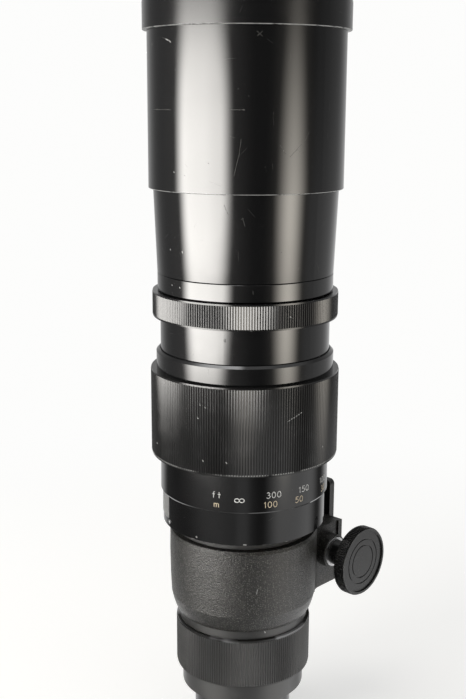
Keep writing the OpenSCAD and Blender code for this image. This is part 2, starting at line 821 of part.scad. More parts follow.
tube_baffle_w = 4.6;
tube_baffle_rise = 12;
module tube_baffle() {
    r = key_tube_r - key_tube_wall - fit;
    color("#0a0a0a") tube(r, r - tube_baffle_w, z_grip + tube_baffle_rise, baffle_t);
}

rear_glass_r = 22;
rear_cell_h = 15;
rear_lip = 2;
rear_glass_t = 5;
rear_front_sags = [-1.4, -0.8];
rear_back_sags = [0.5, -1.2];
rear_cell_inset = 1;
rear_cell_bottom = lens_tube_low + rear_cell_inset;
rear_cell_wall = 2;
rear_cell_foot_h = 4;

module rear_cell() {
    z = rear_cell_bottom;
    color("#18181a")
        turned([[rear_glass_r - rear_lip, z], [lens_tube_r - lens_tube_wall - fit, z],
            [lens_tube_r - lens_tube_wall - fit, z + rear_cell_foot_h],
            [rear_glass_r + rear_cell_wall, z + rear_cell_foot_h],
            [rear_glass_r + rear_cell_wall, z + rear_cell_h], [rear_glass_r + fit, z + rear_cell_h],
            [rear_glass_r + fit, z + rear_lip], [rear_glass_r - rear_lip, z + rear_lip]]);
}

// Lens element of radius r with its rim from z to z + edge and a flat ground seat round each face.
// At the axis the front surface bulges by the first of the sags and the back one by the second,
// and a negative value makes either hollow.
face_steps = 14;
glass_seat_w = 2.4;
function sag_radius(r, sag) = (r * r + sag * sag) / (2 * sag);
function lens_face(r, sag) = [for (k = [0:face_steps])
    let (x = r * k / face_steps, big = abs(sag_radius(r, sag)))
        [x, sign(sag) * (sqrt(big * big - x * x) - sqrt(big * big - r * r))]];
module element(r, z, edge, sags) {
    front = [for (p = lens_face(r - glass_seat_w, sags[0])) [p[0], z + edge + p[1]]];
    back = [for (p = lens_face(r - glass_seat_w, sags[1])) [p[0], z - p[1]]];
    turned(concat([[r, z], [r, z + edge]], reversed(front), back));
}

module rear_element_front() {
    color("#9fb6c6", 0.4)
        element(rear_glass_r, rear_cell_bottom + rear_lip + rear_glass_t, rear_glass_t, rear_front_sags);
}

module rear_element_back() {
    color("#9fb6c6", 0.4)
        element(rear_glass_r, rear_cell_bottom + rear_lip, rear_glass_t, rear_back_sags);
}

module rear_cell_ring() {
    z = rear_cell_bottom + rear_lip + 2 * rear_glass_t;
    color("#18181a") tube(rear_glass_r, rear_glass_r - rear_lip, z, rear_cell_bottom + rear_cell_h - z);
}

// Front half of the head: seat ring, tapered barrel with its guide land, and the front cell

z_shoulder = z_union_thread + union_thread_h + shoulder_gap;
shoulder_step = 0.6;
shoulder_neck_r = head_r - shoulder_step;
spigot_r = head_in_r - fit;
spigot_wall = 2.2;
spigot_h = 8;
seat_low_chamfer = 0.5;
seat_high_chamfer = 0.8;
seat_pilot_step = 2;
seat_pilot_wall = 1.6;
seat_pilot_h = 4;
seat_pilot_r = seat_r - seat_pilot_step;

module seat_ring() {
    z = z_shoulder - shoulder_gap;
    color("#0f0f0f")
        turned([[spigot_r - spigot_wall, z_shoulder - spigot_h], [spigot_r, z_shoulder - spigot_h],
            [spigot_r, z], [union_thread_r, z],
            [union_thread_r, z_shoulder + shoulder_h], [shoulder_neck_r, z_shoulder + shoulder_h],
            [shoulder_neck_r, z_seat], [seat_r - seat_low_chamfer, z_seat],
            [seat_r, z_seat + seat_low_chamfer], [seat_r, z_taper - seat_high_chamfer],
            [seat_r - seat_high_chamfer, z_taper], [seat_pilot_r, z_taper],
            [seat_pilot_r, z_taper + seat_pilot_h], [seat_pilot_r - seat_pilot_wall, z_taper + seat_pilot_h],
            [seat_pilot_r - seat_pilot_wall, z_seat]]);
}

module union_ring() {
    lip_r_in = head_r + run;
    top_r_in = shoulder_neck_r + run;
    thread_in_r = union_thread_r + run;
    color("#1c1c1c") difference() {
        knurled_ring(union_ribs, union_r, top_r_in, z_union + run, union_h - 2 * run);
        turned([[0, z_union - over], [lip_r_in, z_union - over], [lip_r_in, z_union_thread - run],
            [thread_in_r, z_union_thread - run], [thread_in_r, z_shoulder + shoulder_h + run],
            [0, z_shoulder + shoulder_h + run]]);
    }
}

hood_lip_h = 2;
z_land = z_hood + hood_lip_h + hood_gap;
taper_top = z_hood + taper_hidden;
cell_drop = 12;
cell_taper_h = 3;
z_cell = z_hood - cell_drop;
felt_t = 0.3;
felt_h = 7;
felt_low_inset = 4;
felt_top_inset = 2.2;
felt_places = [felt_low_inset, taper_top - z_land - felt_top_inset - felt_h];

module tapered_barrel() {
    bottom_in_r = seat_pilot_r + fit;
    color("#0e0e0e") difference() {
        turned([[bottom_in_r, z_taper], [seat_r, z_taper], [taper_r, z_hood + hood_lip_h],
            [land_r, z_land], [land_r, taper_top], [cell_r + fit, taper_top],
            [cell_r + fit, z_cell], [bottom_in_r, z_cell - cell_taper_h]]);
        for (f = felt_places) tube(land_r + over, land_r - felt_t, z_land + f, felt_h);
    }
}

module felt_rings() {
    color("#101014") for (f = felt_places)
        tube(land_r + fit, land_r - felt_t + fit / 2, z_land + f + fit, felt_h - 2 * fit);
}

cell_lip = 2;
cell_floor = 2.5;
spacer_wall = 1.8;
spacer_in_r = front_glass_r - spacer_wall;
inner_edge = 4;
inner_sags = [6, -3.5];
inner_space = 11;
middle_edge = 9;
middle_sags = [-3.4, -1.5];
outer_space = 3.5;
outer_edge = 4;
front_face_r = front_glass_r - glass_seat_w;
outer_sags = [front_curve_r - sqrt(pow(front_curve_r, 2) - pow(front_face_r, 2)), 3];
ring_h = 5;
ring_lip_w = 2.2;
ring_lip_t = 1.2;
ring_wall = 0.8;
inner_z = z_cell + cell_floor;
middle_z = inner_z + inner_edge + inner_space;
outer_z = middle_z + middle_edge + outer_space;

module front_cell() {
    color("#141416")
        turned([[front_glass_r - cell_lip, z_cell], [cell_r, z_cell],
            [cell_r, outer_z + outer_edge + ring_h], [front_glass_r + fit, outer_z + outer_edge + ring_h],
            [front_glass_r + fit, inner_z], [front_glass_r - cell_lip, inner_z]]);
}

module front_element_inner() {
    color("#9fb6c6", 0.4) element(front_glass_r, inner_z, inner_edge, inner_sags);
}

module front_element_middle() {
    color("#9fb6c6", 0.4) element(front_glass_r, middle_z, middle_edge, middle_sags);
}

module front_element_outer() {
    color("#8fa8c0", 0.35) element(front_glass_r, outer_z, outer_edge, outer_sags);
}

module front_spacers() {
    color("#141416") {
        tube(front_glass_r, spacer_in_r, inner_z + inner_edge, inner_space);
        tube(front_glass_r, spacer_in_r, middle_z + middle_edge, outer_space);
    }
}

module front_cell_ring() {
    z = outer_z + outer_edge;
    color("#121212")
        turned([[front_glass_r - ring_lip_w, z], [front_glass_r, z], [front_glass_r, z + ring_h],
            [front_glass_r - ring_wall, z + ring_h], [front_glass_r - ring_lip_w, z + ring_lip_t]]);
}

// Hood and its rim ring

hood_lip_in_r = taper_r + run;
hood_chamfer = 0.3;
rim_round = 3;
rim_fold_h = 4.1;
rim_mouth_chamfer = 0.8;

module hood() {
    color("#0d0d0d")
        turned([[hood_lip_in_r, z_hood], [hood_r - hood_chamfer, z_hood],
            [hood_r, z_hood + hood_chamfer], [hood_r, z_top - rim_fold_h], [hood_in_r, z_top - rim_fold_h],
            [hood_in_r, z_hood + hood_lip_h], [hood_lip_in_r, z_hood + hood_lip_h]]);
}

module hood_rim() {
    color("#121212")
        turned(concat(
            [[hood_r + fit, z_rim], [rim_r - hood_chamfer, z_rim], [rim_r, z_rim + hood_chamfer]],
            [for (a = [0:15:90])
                [rim_r - rim_round + rim_round * cos(a), z_top - rim_round + rim_round * sin(a)]],
            [[hood_in_r + rim_mouth_chamfer, z_top], [hood_in_r, z_top - rim_mouth_chamfer],
             [hood_in_r, z_top - rim_fold_h + fit], [hood_r + fit, z_top - rim_fold_h + fit]]));
}

// Tripod collar: a turned ring and a cast block, slit through the block and closed by the clamp

block_rise = 7;
block_low = z_collar + block_rise;
block_h = collar_h - block_rise - block_top_inset;
block_fillet = 12;
web_inset = 0.6;
web_r = collar_r - web_inset;
fillet_x = block_half_w + block_fillet;
fillet_y = sqrt(pow(web_r + block_fillet, 2) - pow(fillet_x, 2));
fillet_end = atan2(-fillet_y, -fillet_x) + 360;
pad_t = 4;
pad_step = 1.2;
pad_bevel = 1;
slit_w = 1.6;
slit_past = 6;
z_clamp = z_collar + clamp_h;
boss_r = 12;
boss_root = 2;
thread_end_inset = 8;
thread_end_x = thread_end_inset - block_half_w;
thread_spare = 3;
collar_outline_shares = [[0.897, 0], [0.93, 0.047], [0.959, 0.123], [0.981, 0.203], [0.992, 0.405],
    [1, 0.726], [0.996, 0.962], [0.9825, 1]];

function fillet_points(side) = [for (k = [0:6]) let (a = 180 + (fillet_end - 180) * k / 6)
    [side * (fillet_x + block_fillet * cos(a)), fillet_y + block_fillet * sin(a)]];

module collar_turning() {
    turned(concat([[collar_in_r, z_recess - run], [collar_in_r, z_collar]],
        [for (p = collar_outline_shares) [p[0] * collar_r, z_collar + p[1] * (collar_h - run)]]));
}

module collar_block() {
    right = fillet_points(1);
    left = reversed(fillet_points(-1));
    translate([0, 0, block_low]) linear_extrude(block_h)
        polygon(concat([[block_half_w, block_y - pad_t - pad_bevel]], right, [[0, 0]], left,
            [[-block_half_w, block_y - pad_t - pad_bevel], [-block_half_w, block_y - pad_t],
             [block_half_w, block_y - pad_t]]));
    translate([-block_half_w - pad_step, block_y - pad_t, block_low])
        cube([2 * (block_half_w + pad_step), pad_t, block_h]);
    translate([block_half_w - boss_root, clamp_y, z_clamp]) rotate([0, 90, 0])
        cylinder(r = boss_r, h = washer_x - block_half_w + boss_root);
}

module tripod_collar() {
    color("#1e1e1e") difference() {
        union() {
            collar_turning();
            collar_block();
        }
        translate([0, 0, z_collar - over]) cylinder(r = collar_in_r, h = collar_h + 2 * over);
        translate([-slit_w / 2, collar_in_r - over, block_low - collar_h])
            cube([slit_w, clamp_y + slit_past - collar_in_r + over, 3 * collar_h]);
        translate([-slit_w, clamp_y, z_clamp]) rotate([0, 90, 0])
            cylinder(r = clamp_screw_r + run, h = washer_x + slit_w + over);
        translate([thread_end_x - thread_spare, clamp_y, z_clamp]) rotate([0, 90, 0])
            cylinder(r = clamp_screw_r + fit, h = -thread_end_x + thread_spare);
        bushing_hole();
        foot_screw_places() countersink(foot_screw_head_r, foot_screw_head_h, foot_screw_r, foot_screw_len);
    }
}

// Foot plate: its tongue runs on towards the front past the block

foot_drop = 9;
z_foot = block_low - foot_drop;
foot_round_low = 9;
foot_round_high = 3.5;
foot_screw_r = 1.9;
foot_screw_head_r = 3.7;
foot_screw_head_h = 2;
foot_screw_len = 14;
foot_screw_side_inset = 7.5;
foot_screw_x = foot_half_w - foot_screw_side_inset;
foot_screw_inset = 8.5;
foot_screw_z = [block_low + foot_screw_inset, block_low + block_h - foot_screw_inset];
foot_y = block_y + foot_t;
bushing_rise = 23;
z_bushing = block_low + bushing_rise;
bushing_r = 8;
bushing_depth = 11;
small_thread_inset = 12;
z_small_thread = z_foot + foot_len - small_thread_inset;

// Places with +Z pointing out of the foot's face
module on_foot(x, z) {
    translate([x, foot_y, z]) rotate([-90, 0, 0]) children();
}

module foot_screw_places() {
    for (x = [-foot_screw_x, foot_screw_x], z = foot_screw_z) on_foot(x, z) children();
}

module bushing_hole() {
    on_foot(0, z_bushing) translate([0, 0, -bushing_depth])
        cylinder(r = bushing_r + fit, h = bushing_depth + over);
}

module foot_plate() {
    w = foot_half_w;
    color("#1a1a1a") difference() {
        translate([0, foot_y, z_foot]) rotate([90, 0, 0]) union() {
            translate([-w, foot_round_low, 0])
                cube([2 * w, foot_len - foot_round_low - foot_round_high, foot_t]);
            translate([foot_round_low - w, 0, 0]) cube([2 * (w - foot_round_low), foot_len, foot_t]);
            translate([foot_round_high - w, foot_round_low, 0])
                cube([2 * (w - foot_round_high), foot_len - foot_round_low, foot_t]);
            for (s = [-1, 1]) {
                translate([s * (w - foot_round_low), foot_round_low, 0])
                    cylinder(r = foot_round_low, h = foot_t);
                translate([s * (w - foot_round_high), foot_len - foot_round_high, 0])
                    cylinder(r = foot_round_high, h = foot_t);
            }
        }
        bushing_hole();
        on_foot(0, z_small_thread) translate([0, 0, -foot_t - over])
            cylinder(r = small_thread_r, h = foot_t + 2 * over);
        foot_screw_places() countersink(foot_screw_head_r, foot_screw_head_h, foot_screw_r, foot_screw_len);
    }
}

module foot_screws() {
    color("dimgray") foot_screw_places()
        countersunk(foot_screw_head_r, foot_screw_head_h, foot_screw_r, foot_screw_len);
}

module tripod_bushing() {
    color("silver") on_foot(0, z_bushing) translate([0, 0, -bushing_depth]) difference() {
        cylinder(r = bushing_r, h = bushing_depth);
        translate([0, 0, -over]) cylinder(r = large_thread_r, h = bushing_depth + 2 * over);
    }
}

// Clamp knob with its screw, and the washer that it bears on

module on_clamp(x) {
    translate([x, clamp_y, z_clamp]) rotate([0, 90, 0]) children();
}

module clamp_washer() {
    color("gainsboro") on_clamp(washer_x) difference() {
        cylinder(r = washer_r, h = washer_t);
        translate([0, 0, -over]) cylinder(r = clamp_screw_r + run, h = washer_t + 2 * over);
    }
}

knob_depth = 0.5;
knob_edge = 0.9;
knob_edge_drop = 0.2;
knob_rim_w = 2.3;
knob_recess = 1;
groove_w = 0.8;
groove_depth = 0.6;
groove_shares = [0.48, 0.66];

module clamp_knob() {
    color("#171717") on_clamp(washer_x + washer_t) {
        difference() {
            union() {
                cylinder(r = knob_neck_r, h = knob_neck_len);
                translate([0, 0, knob_neck_len])
                    cylinder(r = knob_r - knob_depth - knob_edge_drop, h = knob_t);
                translate([0, 0, knob_neck_len + knob_edge]) linear_extrude(knob_t - 2 * knob_edge)
                    polygon(knurl(knob_ribs, knob_r, knob_depth));
            }
            translate([0, 0, knob_neck_len + knob_t - knob_recess])
                cylinder(r = knob_r - knob_rim_w, h = knob_recess + over);
            for (s = groove_shares) translate([0, 0, knob_neck_len + knob_t - knob_recess - groove_depth])
                difference() {
                    cylinder(r = knob_r * s + groove_w / 2, h = groove_depth + over);
                    translate([0, 0, -over])
                        cylinder(r = knob_r * s - groove_w / 2, h = groove_depth + 3 * over);
                }
        }
        translate([0, 0, thread_end_x - washer_x - washer_t])
            cylinder(r = clamp_screw_r, h = washer_x + washer_t - thread_end_x);
    }
}

camera_mount();
mount_screws();
mount_barrel();
mount_baffle();
base_ring();
rear_barrel();
neck_ring();
index_ring();
fixed_helicoid();
helicoid_screws();
guide_keys();
focus_stop();
iris_plate();
iris_retaining_ring();
click_ball();
click_spring();
aperture_ring();
cam_ring();
aperture_drive_tab();
iris_blade(1);  // iris_blade_1
iris_blade(2);  // iris_blade_2
iris_blade(3);  // iris_blade_3
iris_blade(4);  // iris_blade_4
iris_blade(5);  // iris_blade_5
iris_blade(6);  // iris_blade_6
iris_blade(7);  // iris_blade_7
iris_blade(8);  // iris_blade_8
iris_blade(9);  // iris_blade_9
focus_grip();
scale_ring();
lip_ring();
drive_helicoid();
grip_set_screws();
head_barrel();
key_tube();
key_tube_screws();
rear_lens_tube();
tube_baffle();
rear_cell();
rear_element_front();
rear_element_back();
rear_cell_ring();
seat_ring();
tapered_barrel();
front_cell();
front_element_outer();
front_element_middle();
front_element_inner();
front_cell_ring();
front_spacers();
felt_rings();
union_ring();
hood();
hood_rim();
tripod_collar();
foot_plate();
foot_screws();
tripod_bushing();
clamp_washer();
clamp_knob();
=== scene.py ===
import math

import bmesh
import bpy
from mathutils import Matrix, Vector


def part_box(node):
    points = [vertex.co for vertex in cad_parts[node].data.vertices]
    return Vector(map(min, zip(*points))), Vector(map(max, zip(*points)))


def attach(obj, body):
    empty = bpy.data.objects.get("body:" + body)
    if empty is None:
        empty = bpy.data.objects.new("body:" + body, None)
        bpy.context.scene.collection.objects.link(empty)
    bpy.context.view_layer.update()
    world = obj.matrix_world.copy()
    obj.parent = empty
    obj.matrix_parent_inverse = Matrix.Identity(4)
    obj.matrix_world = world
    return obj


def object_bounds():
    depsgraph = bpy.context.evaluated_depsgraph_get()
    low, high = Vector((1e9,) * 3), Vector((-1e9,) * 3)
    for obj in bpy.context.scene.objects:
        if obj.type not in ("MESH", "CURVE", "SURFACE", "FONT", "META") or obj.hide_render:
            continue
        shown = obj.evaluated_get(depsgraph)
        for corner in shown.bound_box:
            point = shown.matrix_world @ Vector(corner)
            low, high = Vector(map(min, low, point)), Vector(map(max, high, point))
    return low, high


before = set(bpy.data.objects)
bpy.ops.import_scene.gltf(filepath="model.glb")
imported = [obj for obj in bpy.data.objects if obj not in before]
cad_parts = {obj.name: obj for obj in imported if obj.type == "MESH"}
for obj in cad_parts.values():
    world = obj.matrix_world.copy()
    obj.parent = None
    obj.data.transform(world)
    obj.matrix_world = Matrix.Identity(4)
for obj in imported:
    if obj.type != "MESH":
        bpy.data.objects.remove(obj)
cad_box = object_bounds()

# Camera: stands 0.71 m in front of the lens and a little above its middle, looking down on it.
# The azimuths in this file are counted from here to the right, seen from above the lens.
CAMERA_PLACE = (0.4826, -0.5256, 0.4353)
CAMERA_HEADING = math.radians(43.2)
CAMERA_PITCH = math.radians(-12.913)
CAMERA_ROLL = math.radians(0.26)
CAMERA_FOCUS_MM = 55.85
AZIMUTH_ZERO = math.radians(-46.8)

camera = bpy.data.objects.new("camera", bpy.data.cameras.new("camera"))
camera.data.lens = CAMERA_FOCUS_MM
camera.data.sensor_width = 36
camera.data.clip_start = 0.01
camera.location = CAMERA_PLACE
level = Matrix.Rotation(CAMERA_HEADING, 3, "Z") @ Matrix.Rotation(math.pi / 2 + CAMERA_PITCH, 3, "X")
camera.rotation_euler = (level @ Matrix.Rotation(CAMERA_ROLL, 3, "Z")).to_euler()
bpy.context.scene.collection.objects.link(camera)
bpy.context.scene.camera = camera


# Camera mount: a chromed brass flange and a spigot with a 42 mm thread of 1 mm pitch, turned in one
# piece. Four slotted steel screws hold it to the mount barrel.
class Wiring:
    """Short calls that add nodes to one node tree."""

    def __init__(self, tree):
        self.tree = tree

    def node(self, kind, **settings):
        """Adds a node of a kind and gives it its settings."""
        made = self.tree.nodes.new(kind)
        for setting, value in settings.items():
            setattr(made, setting, value)
        return made

    def feed(self, socket, value):
        """Links a node's output to the socket, or sets the socket to a plain value."""
        if isinstance(value, bpy.types.NodeSocket):
            self.tree.links.new(value, socket)
        else:
            socket.default_value = value

    def calc(self, operation, *values):
        """One step of arithmetic on node outputs or plain numbers."""
        made = self.node("ShaderNodeMath", operation=operation)
        for socket, value in zip(made.inputs, values):
            self.feed(socket, value)
        return made.outputs[0]

    def both(self, operation, *values):
        """The same for vectors."""
        made = self.node("ShaderNodeVectorMath", operation=operation)
        for socket, value in zip(made.inputs, values):
            self.feed(socket, value)
        return made.outputs["Value" if operation == "LENGTH" else "Vector"]

    def band(self, value, start, end):
        """0 where value is at start or before, 1 at end or past it, smooth between."""
        made = self.node("ShaderNodeMapRange", interpolation_type="SMOOTHSTEP")
        self.feed(made.inputs["Value"], value)
        made.inputs["From Min"].default_value = start
        made.inputs["From Max"].default_value = end
        return made.outputs["Result"]

    def near(self, value, reach, full=0.0):
        """1 up to full, fading to 0 at the reach."""
        return self.calc("SUBTRACT", 1.0, self.band(value, full, reach))


MIDDLE_RADIUS = 0.055


class Finish(Wiring):
    """One finish of the lens as a material, in the lens's own round coordinates."""

    def __init__(self, name, colour, roughness, **sockets):
        self.material = bpy.data.materials.new(name)
        self.material.use_nodes = True
        super().__init__(self.material.node_tree)
        self.shader = self.tree.nodes["Principled BSDF"]
        self.colour = (*colour, 1)
        self.shader.inputs["Base Color"].default_value = self.colour
        self.shader.inputs["Roughness"].default_value = roughness
        for socket, value in sockets.items():
            self.shader.inputs[socket.replace("_", " ")].default_value = value
        self.roughness = roughness
        self.relief = None
        self.place = self.node("ShaderNodeTexCoord").outputs["Object"]
        split = self.node("ShaderNodeSeparateXYZ")
        self.feed(split.inputs[0], self.place)
        self.x, self.y, self.height = split.outputs
        self.turn = self.calc("ARCTAN2", self.y, self.x)
        self.radius = self.calc("SQRT", self.calc("ADD", self.calc("MULTIPLY", self.x, self.x),
                                                  self.calc("MULTIPLY", self.y, self.y)))

    def noise(self, size, detail=2.0):
        """Cloudy noise from 0 to 1, of about this size in metres."""
        made = self.node("ShaderNodeTexNoise")
        self.feed(made.inputs["Vector"], self.place)
        made.inputs["Scale"].default_value = 1 / size
        made.inputs["Detail"].default_value = detail
        return made.outputs["Fac"]

    def tint(self, amount, colour, strength=1.0):
        """Mixes a colour over the base colour by an amount from 0 to 1, at most to this strength."""
        mix = self.node("ShaderNodeMix", data_type="RGBA")
        socket = self.shader.inputs["Base Color"]
        below = socket.links[0].from_socket if socket.is_linked else self.colour
        self.feed(mix.inputs["Factor"], amount if strength == 1 else self.calc("MULTIPLY", amount, strength))
        self.feed(mix.inputs[6], below)
        self.feed(mix.inputs[7], (*colour, 1))
        self.feed(socket, mix.outputs[2])

    def roughen(self, amount, roughness):
        """Brings the roughness to another value by an amount from 0 to 1."""
        socket = self.shader.inputs["Roughness"]
        below = socket.links[0].from_socket if socket.is_linked else self.roughness
        mix = self.node("ShaderNodeMix", data_type="FLOAT")
        self.feed(mix.inputs["Factor"], amount)
        self.feed(mix.inputs[2], below)
        self.feed(mix.inputs[3], roughness)
        self.feed(socket, mix.outputs[0])

    def patchy(self, size, roughness, detail=3.0, start=0.4, end=0.7):
        """Clouds of another roughness; more of them the lower start and end are."""
        self.roughen(self.band(self.noise(size, detail), start, end), roughness)

    def raise_by(self, height, depth):
        """Adds relief: height from 0 to 1 over a depth in metres."""
        bump = self.node("ShaderNodeBump")
        bump.inputs["Strength"].default_value = 1
        bump.inputs["Distance"].default_value = depth
        self.feed(bump.inputs["Height"], height)
        if self.relief is not None:
            self.feed(bump.inputs["Normal"], self.relief)
        self.relief = bump.outputs[0]
        self.feed(self.shader.inputs["Normal"], self.relief)

    def unrolled(self, radius):
        """Place on the barrel laid flat: metres round it from the camera's side, and along it."""
        flat = self.node("ShaderNodeCombineXYZ")
        self.feed(flat.inputs[0], self.calc("MULTIPLY", self.calc("SUBTRACT", self.turn, AZIMUTH_ZERO),
                                            radius))
        self.feed(flat.inputs[1], self.height)
        return flat.outputs[0]

    def hairlines(self, spacing, longest, width, share):
        """Fine straight scratches: one at a slant of its own in some cells of a scattered grid."""
        flat = self.unrolled(MIDDLE_RADIUS)
        cells = self.node("ShaderNodeTexVoronoi", voronoi_dimensions="2D")
        self.feed(cells.inputs["Vector"], flat)
        cells.inputs["Scale"].default_value = 1 / spacing
        pick = self.node("ShaderNodeSeparateXYZ")
        self.feed(pick.inputs[0], cells.outputs["Color"])
        slanted = self.node("ShaderNodeVectorRotate", rotation_type="Z_AXIS")
        self.feed(slanted.inputs["Vector"], self.both("SUBTRACT", flat, cells.outputs["Position"]))
        self.feed(slanted.inputs["Angle"], self.calc("MULTIPLY", pick.outputs[0], math.pi))
        length = self.node("ShaderNodeCombineXYZ")
        self.feed(length.inputs[0], self.calc("MULTIPLY", pick.outputs[2], longest / 2))
        past = self.both("SUBTRACT", self.both("ABSOLUTE", slanted.outputs[0]), length.outputs[0])
        away = self.both("LENGTH", self.both("MAXIMUM", past, (0, 0, 0)))
        return self.calc("MULTIPLY", self.near(away, 0.5 * width, 0.1 * width),
                         self.calc("LESS_THAN", pick.outputs[1], share))

    def on(self, *names):
        """Puts the finish on CAD pieces, as their only one."""
        for name in names:
            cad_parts[name].data.materials.clear()
            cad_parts[name].data.materials.append(self.material)


THREAD_PITCH = 0.001
SPIGOT_RADIUS = 0.021
SPIGOT_LENGTH = 0.005

chrome = Finish("mount_chrome", (0.72, 0.72, 0.73), 0.2, Metallic=1.0)
chrome.patchy(0.004, 0.34, detail=4.0)
chrome.tint(chrome.hairlines(0.003, 0.005, 0.00012, 0.5), (0.3, 0.3, 0.3), strength=0.5)
helix = chrome.calc("FRACT", chrome.calc("SUBTRACT", chrome.calc("DIVIDE", chrome.height, THREAD_PITCH),
                                         chrome.calc("DIVIDE", chrome.turn, 2 * math.pi)))
flanks = chrome.calc("ABSOLUTE", chrome.calc("SUBTRACT", chrome.calc("MULTIPLY", helix, 2.0), 1.0))
on_spigot = chrome.calc("MULTIPLY", chrome.calc("LESS_THAN", chrome.height, SPIGOT_LENGTH - 0.0004),
                        chrome.calc("GREATER_THAN", chrome.radius, SPIGOT_RADIUS - 0.0003))
chrome.raise_by(chrome.calc("MULTIPLY", flanks, on_spigot), 0.00055)
chrome.on("camera_mount")

screw_steel = Finish("screw_steel", (0.42, 0.42, 0.43), 0.3, Metallic=1.0)
screw_steel.patchy(0.0012, 0.42, end=0.6)
screw_steel.on("mount_screws")

# Mount barrel and base ring: turned aluminium tubes in gloss black enamel. The paint carries fine
# hairlines and dust, and is worn through to bare metal at the edges. The baffle inside is dull black.
BARE_METAL = (0.5, 0.5, 0.49)
DUST = (0.5, 0.49, 0.46)
ENAMEL = (0.0048, 0.0048, 0.005)
FAR_OFF = 1.0


def dust_grains(finish, spacing, size, share):
    """Small round grains in some cells of a scattered grid."""
    cells = finish.node("ShaderNodeTexVoronoi")
    finish.feed(cells.inputs["Vector"], finish.place)
    cells.inputs["Scale"].default_value = 1 / spacing
    grain = finish.near(cells.outputs["Distance"], size / spacing, 0.5 * size / spacing)
    pick = finish.node("ShaderNodeSeparateXYZ")
    finish.feed(pick.inputs[0], cells.outputs["Color"])
    return finish.calc("MULTIPLY", grain, finish.calc("LESS_THAN", pick.outputs[0], share))


def edge_zone(finish, heights, reach):
    """1 at the given heights along the lens, fading to 0 within the reach."""
    nearest = FAR_OFF
    for height in heights:
        away = finish.calc("ABSOLUTE", finish.calc("SUBTRACT", finish.height, height))
        nearest = finish.calc("MINIMUM", nearest, away)
    return finish.near(nearest, reach, 0.4 * reach)


WANDER_SIZE, WANDER_REACH = 0.0025, 0.0006


def cut_marks(finish, lines, radius, width):
    """1 along short lines on a barrel: azimuth in degrees and height in mm of both their ends.
    The lines wander a little, as a slip of the hand does."""
    wander = finish.node("ShaderNodeTexNoise")
    finish.feed(wander.inputs["Vector"], finish.place)
    wander.inputs["Scale"].default_value = 1 / WANDER_SIZE
    shift = finish.both("SUBTRACT", wander.outputs["Color"], (0.5, 0.5, 0.5))
    shift = finish.both("MULTIPLY", shift, (WANDER_REACH, WANDER_REACH, 0))
    shaky = finish.both("ADD", finish.unrolled(radius), shift)
    nearest = FAR_OFF
    for azimuth_1, height_1, azimuth_2, height_2 in lines:
        start = Vector((math.radians(azimuth_1) * radius, height_1 * 0.001, 0))
        end = Vector((math.radians(azimuth_2) * radius, height_2 * 0.001, 0))
        way = end - start
        local = finish.node("ShaderNodeMapping", vector_type="TEXTURE")
        finish.feed(local.inputs["Vector"], shaky)
        local.inputs["Location"].default_value = (start + end) / 2
        local.inputs["Rotation"].default_value = (0, 0, math.atan2(way.y, way.x))
        past = finish.both("SUBTRACT", finish.both("ABSOLUTE", local.outputs[0]), (way.length / 2, 0, 0))
        away = finish.both("LENGTH", finish.both("MAXIMUM", past, (0, 0, 0)))
        nearest = finish.calc("MINIMUM", nearest, away)
    return finish.near(nearest, 0.5 * width, 0.2 * width)


def lay_bare(finish, zone):
    """Tints the finish bare metal grey and rougher: worn paint, and on the hood rim partly a painted
    highlight.
    """
    finish.tint(zone, BARE_METAL)
    finish.roughen(zone, 0.5)


def enamel(name, pieces, radius, roughness=0.08, colour=ENAMEL, fine_scratches=0.16, bare_rims=(),
           bare_share=0.5, chips=(), scratches=()):
    """Gloss black enamel, with bare metal grey rims at the given heights, and chips and scratches."""
    finish = Finish(name, colour, roughness)
    finish.patchy(0.03, roughness + 0.04, start=0.45, end=0.75)
    lines = finish.hairlines(0.009, 0.008, 0.00016, fine_scratches)
    finish.tint(lines, DUST, strength=0.1)
    finish.roughen(lines, 0.35)
    dust = finish.calc("MAXIMUM", dust_grains(finish, 0.0055, 0.00026, 0.12),
                       dust_grains(finish, 0.0023, 0.00012, 0.2))
    finish.tint(dust, DUST, strength=0.4)
    finish.roughen(dust, 0.8)
    if scratches:
        cut = cut_marks(finish, scratches, radius, 0.00028)
        finish.tint(cut, DUST, strength=0.2)
        finish.roughen(cut, 0.6)
    if bare_rims:
        patches = finish.band(finish.noise(0.006, 4.0), 0.62 - 0.5 * bare_share, 0.86 - 0.5 * bare_share)
        lay_bare(finish, finish.calc("MULTIPLY", edge_zone(finish, bare_rims, 0.0003), patches))
    if chips:
        lay_bare(finish, cut_marks(finish, chips, radius, 0.0009))
    finish.on(*pieces)
    return finish


def low(piece):
    """Height of a CAD piece's rear end."""
    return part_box(piece)[0].z


def high(piece):
    """Height of its front end."""
    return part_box(piece)[1].z


def outer_radius(piece):
    """Radius of a piece that is round about the lens's axis."""
    return max(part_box(piece)[1].x, -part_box(piece)[0].x)


enamel("mount_barrel_enamel", ["mount_barrel"], outer_radius("mount_barrel"), roughness=0.3)
enamel("base_ring_enamel", ["base_ring"], outer_radius("base_ring"), roughness=0.34,
       colour=(0.021, 0.0208, 0.02), bare_rims=[high("base_ring")], bare_share=0.4)

dull_black = Finish("dull_black", (0.012, 0.012, 0.012), 0.6)
dull_black.patchy(0.006, 0.75, detail=4.0)
dull_black.on("mount_baffle")


# Engraved figures: cut with a round-nosed cutter and filled with paint. Each stroke is a flat ribbon
# that follows the ring a few hundredths of a millimetre above it.
def arc(x, y, half_width, half_height, start, end, steps=14):
    """Points of an arc of an ellipse, in shares of the figure's height."""
    turns = [math.radians(start + (end - start) * k / steps) for k in range(steps + 1)]
    return [(x + half_width * math.cos(turn), y + half_height * math.sin(turn)) for turn in turns]


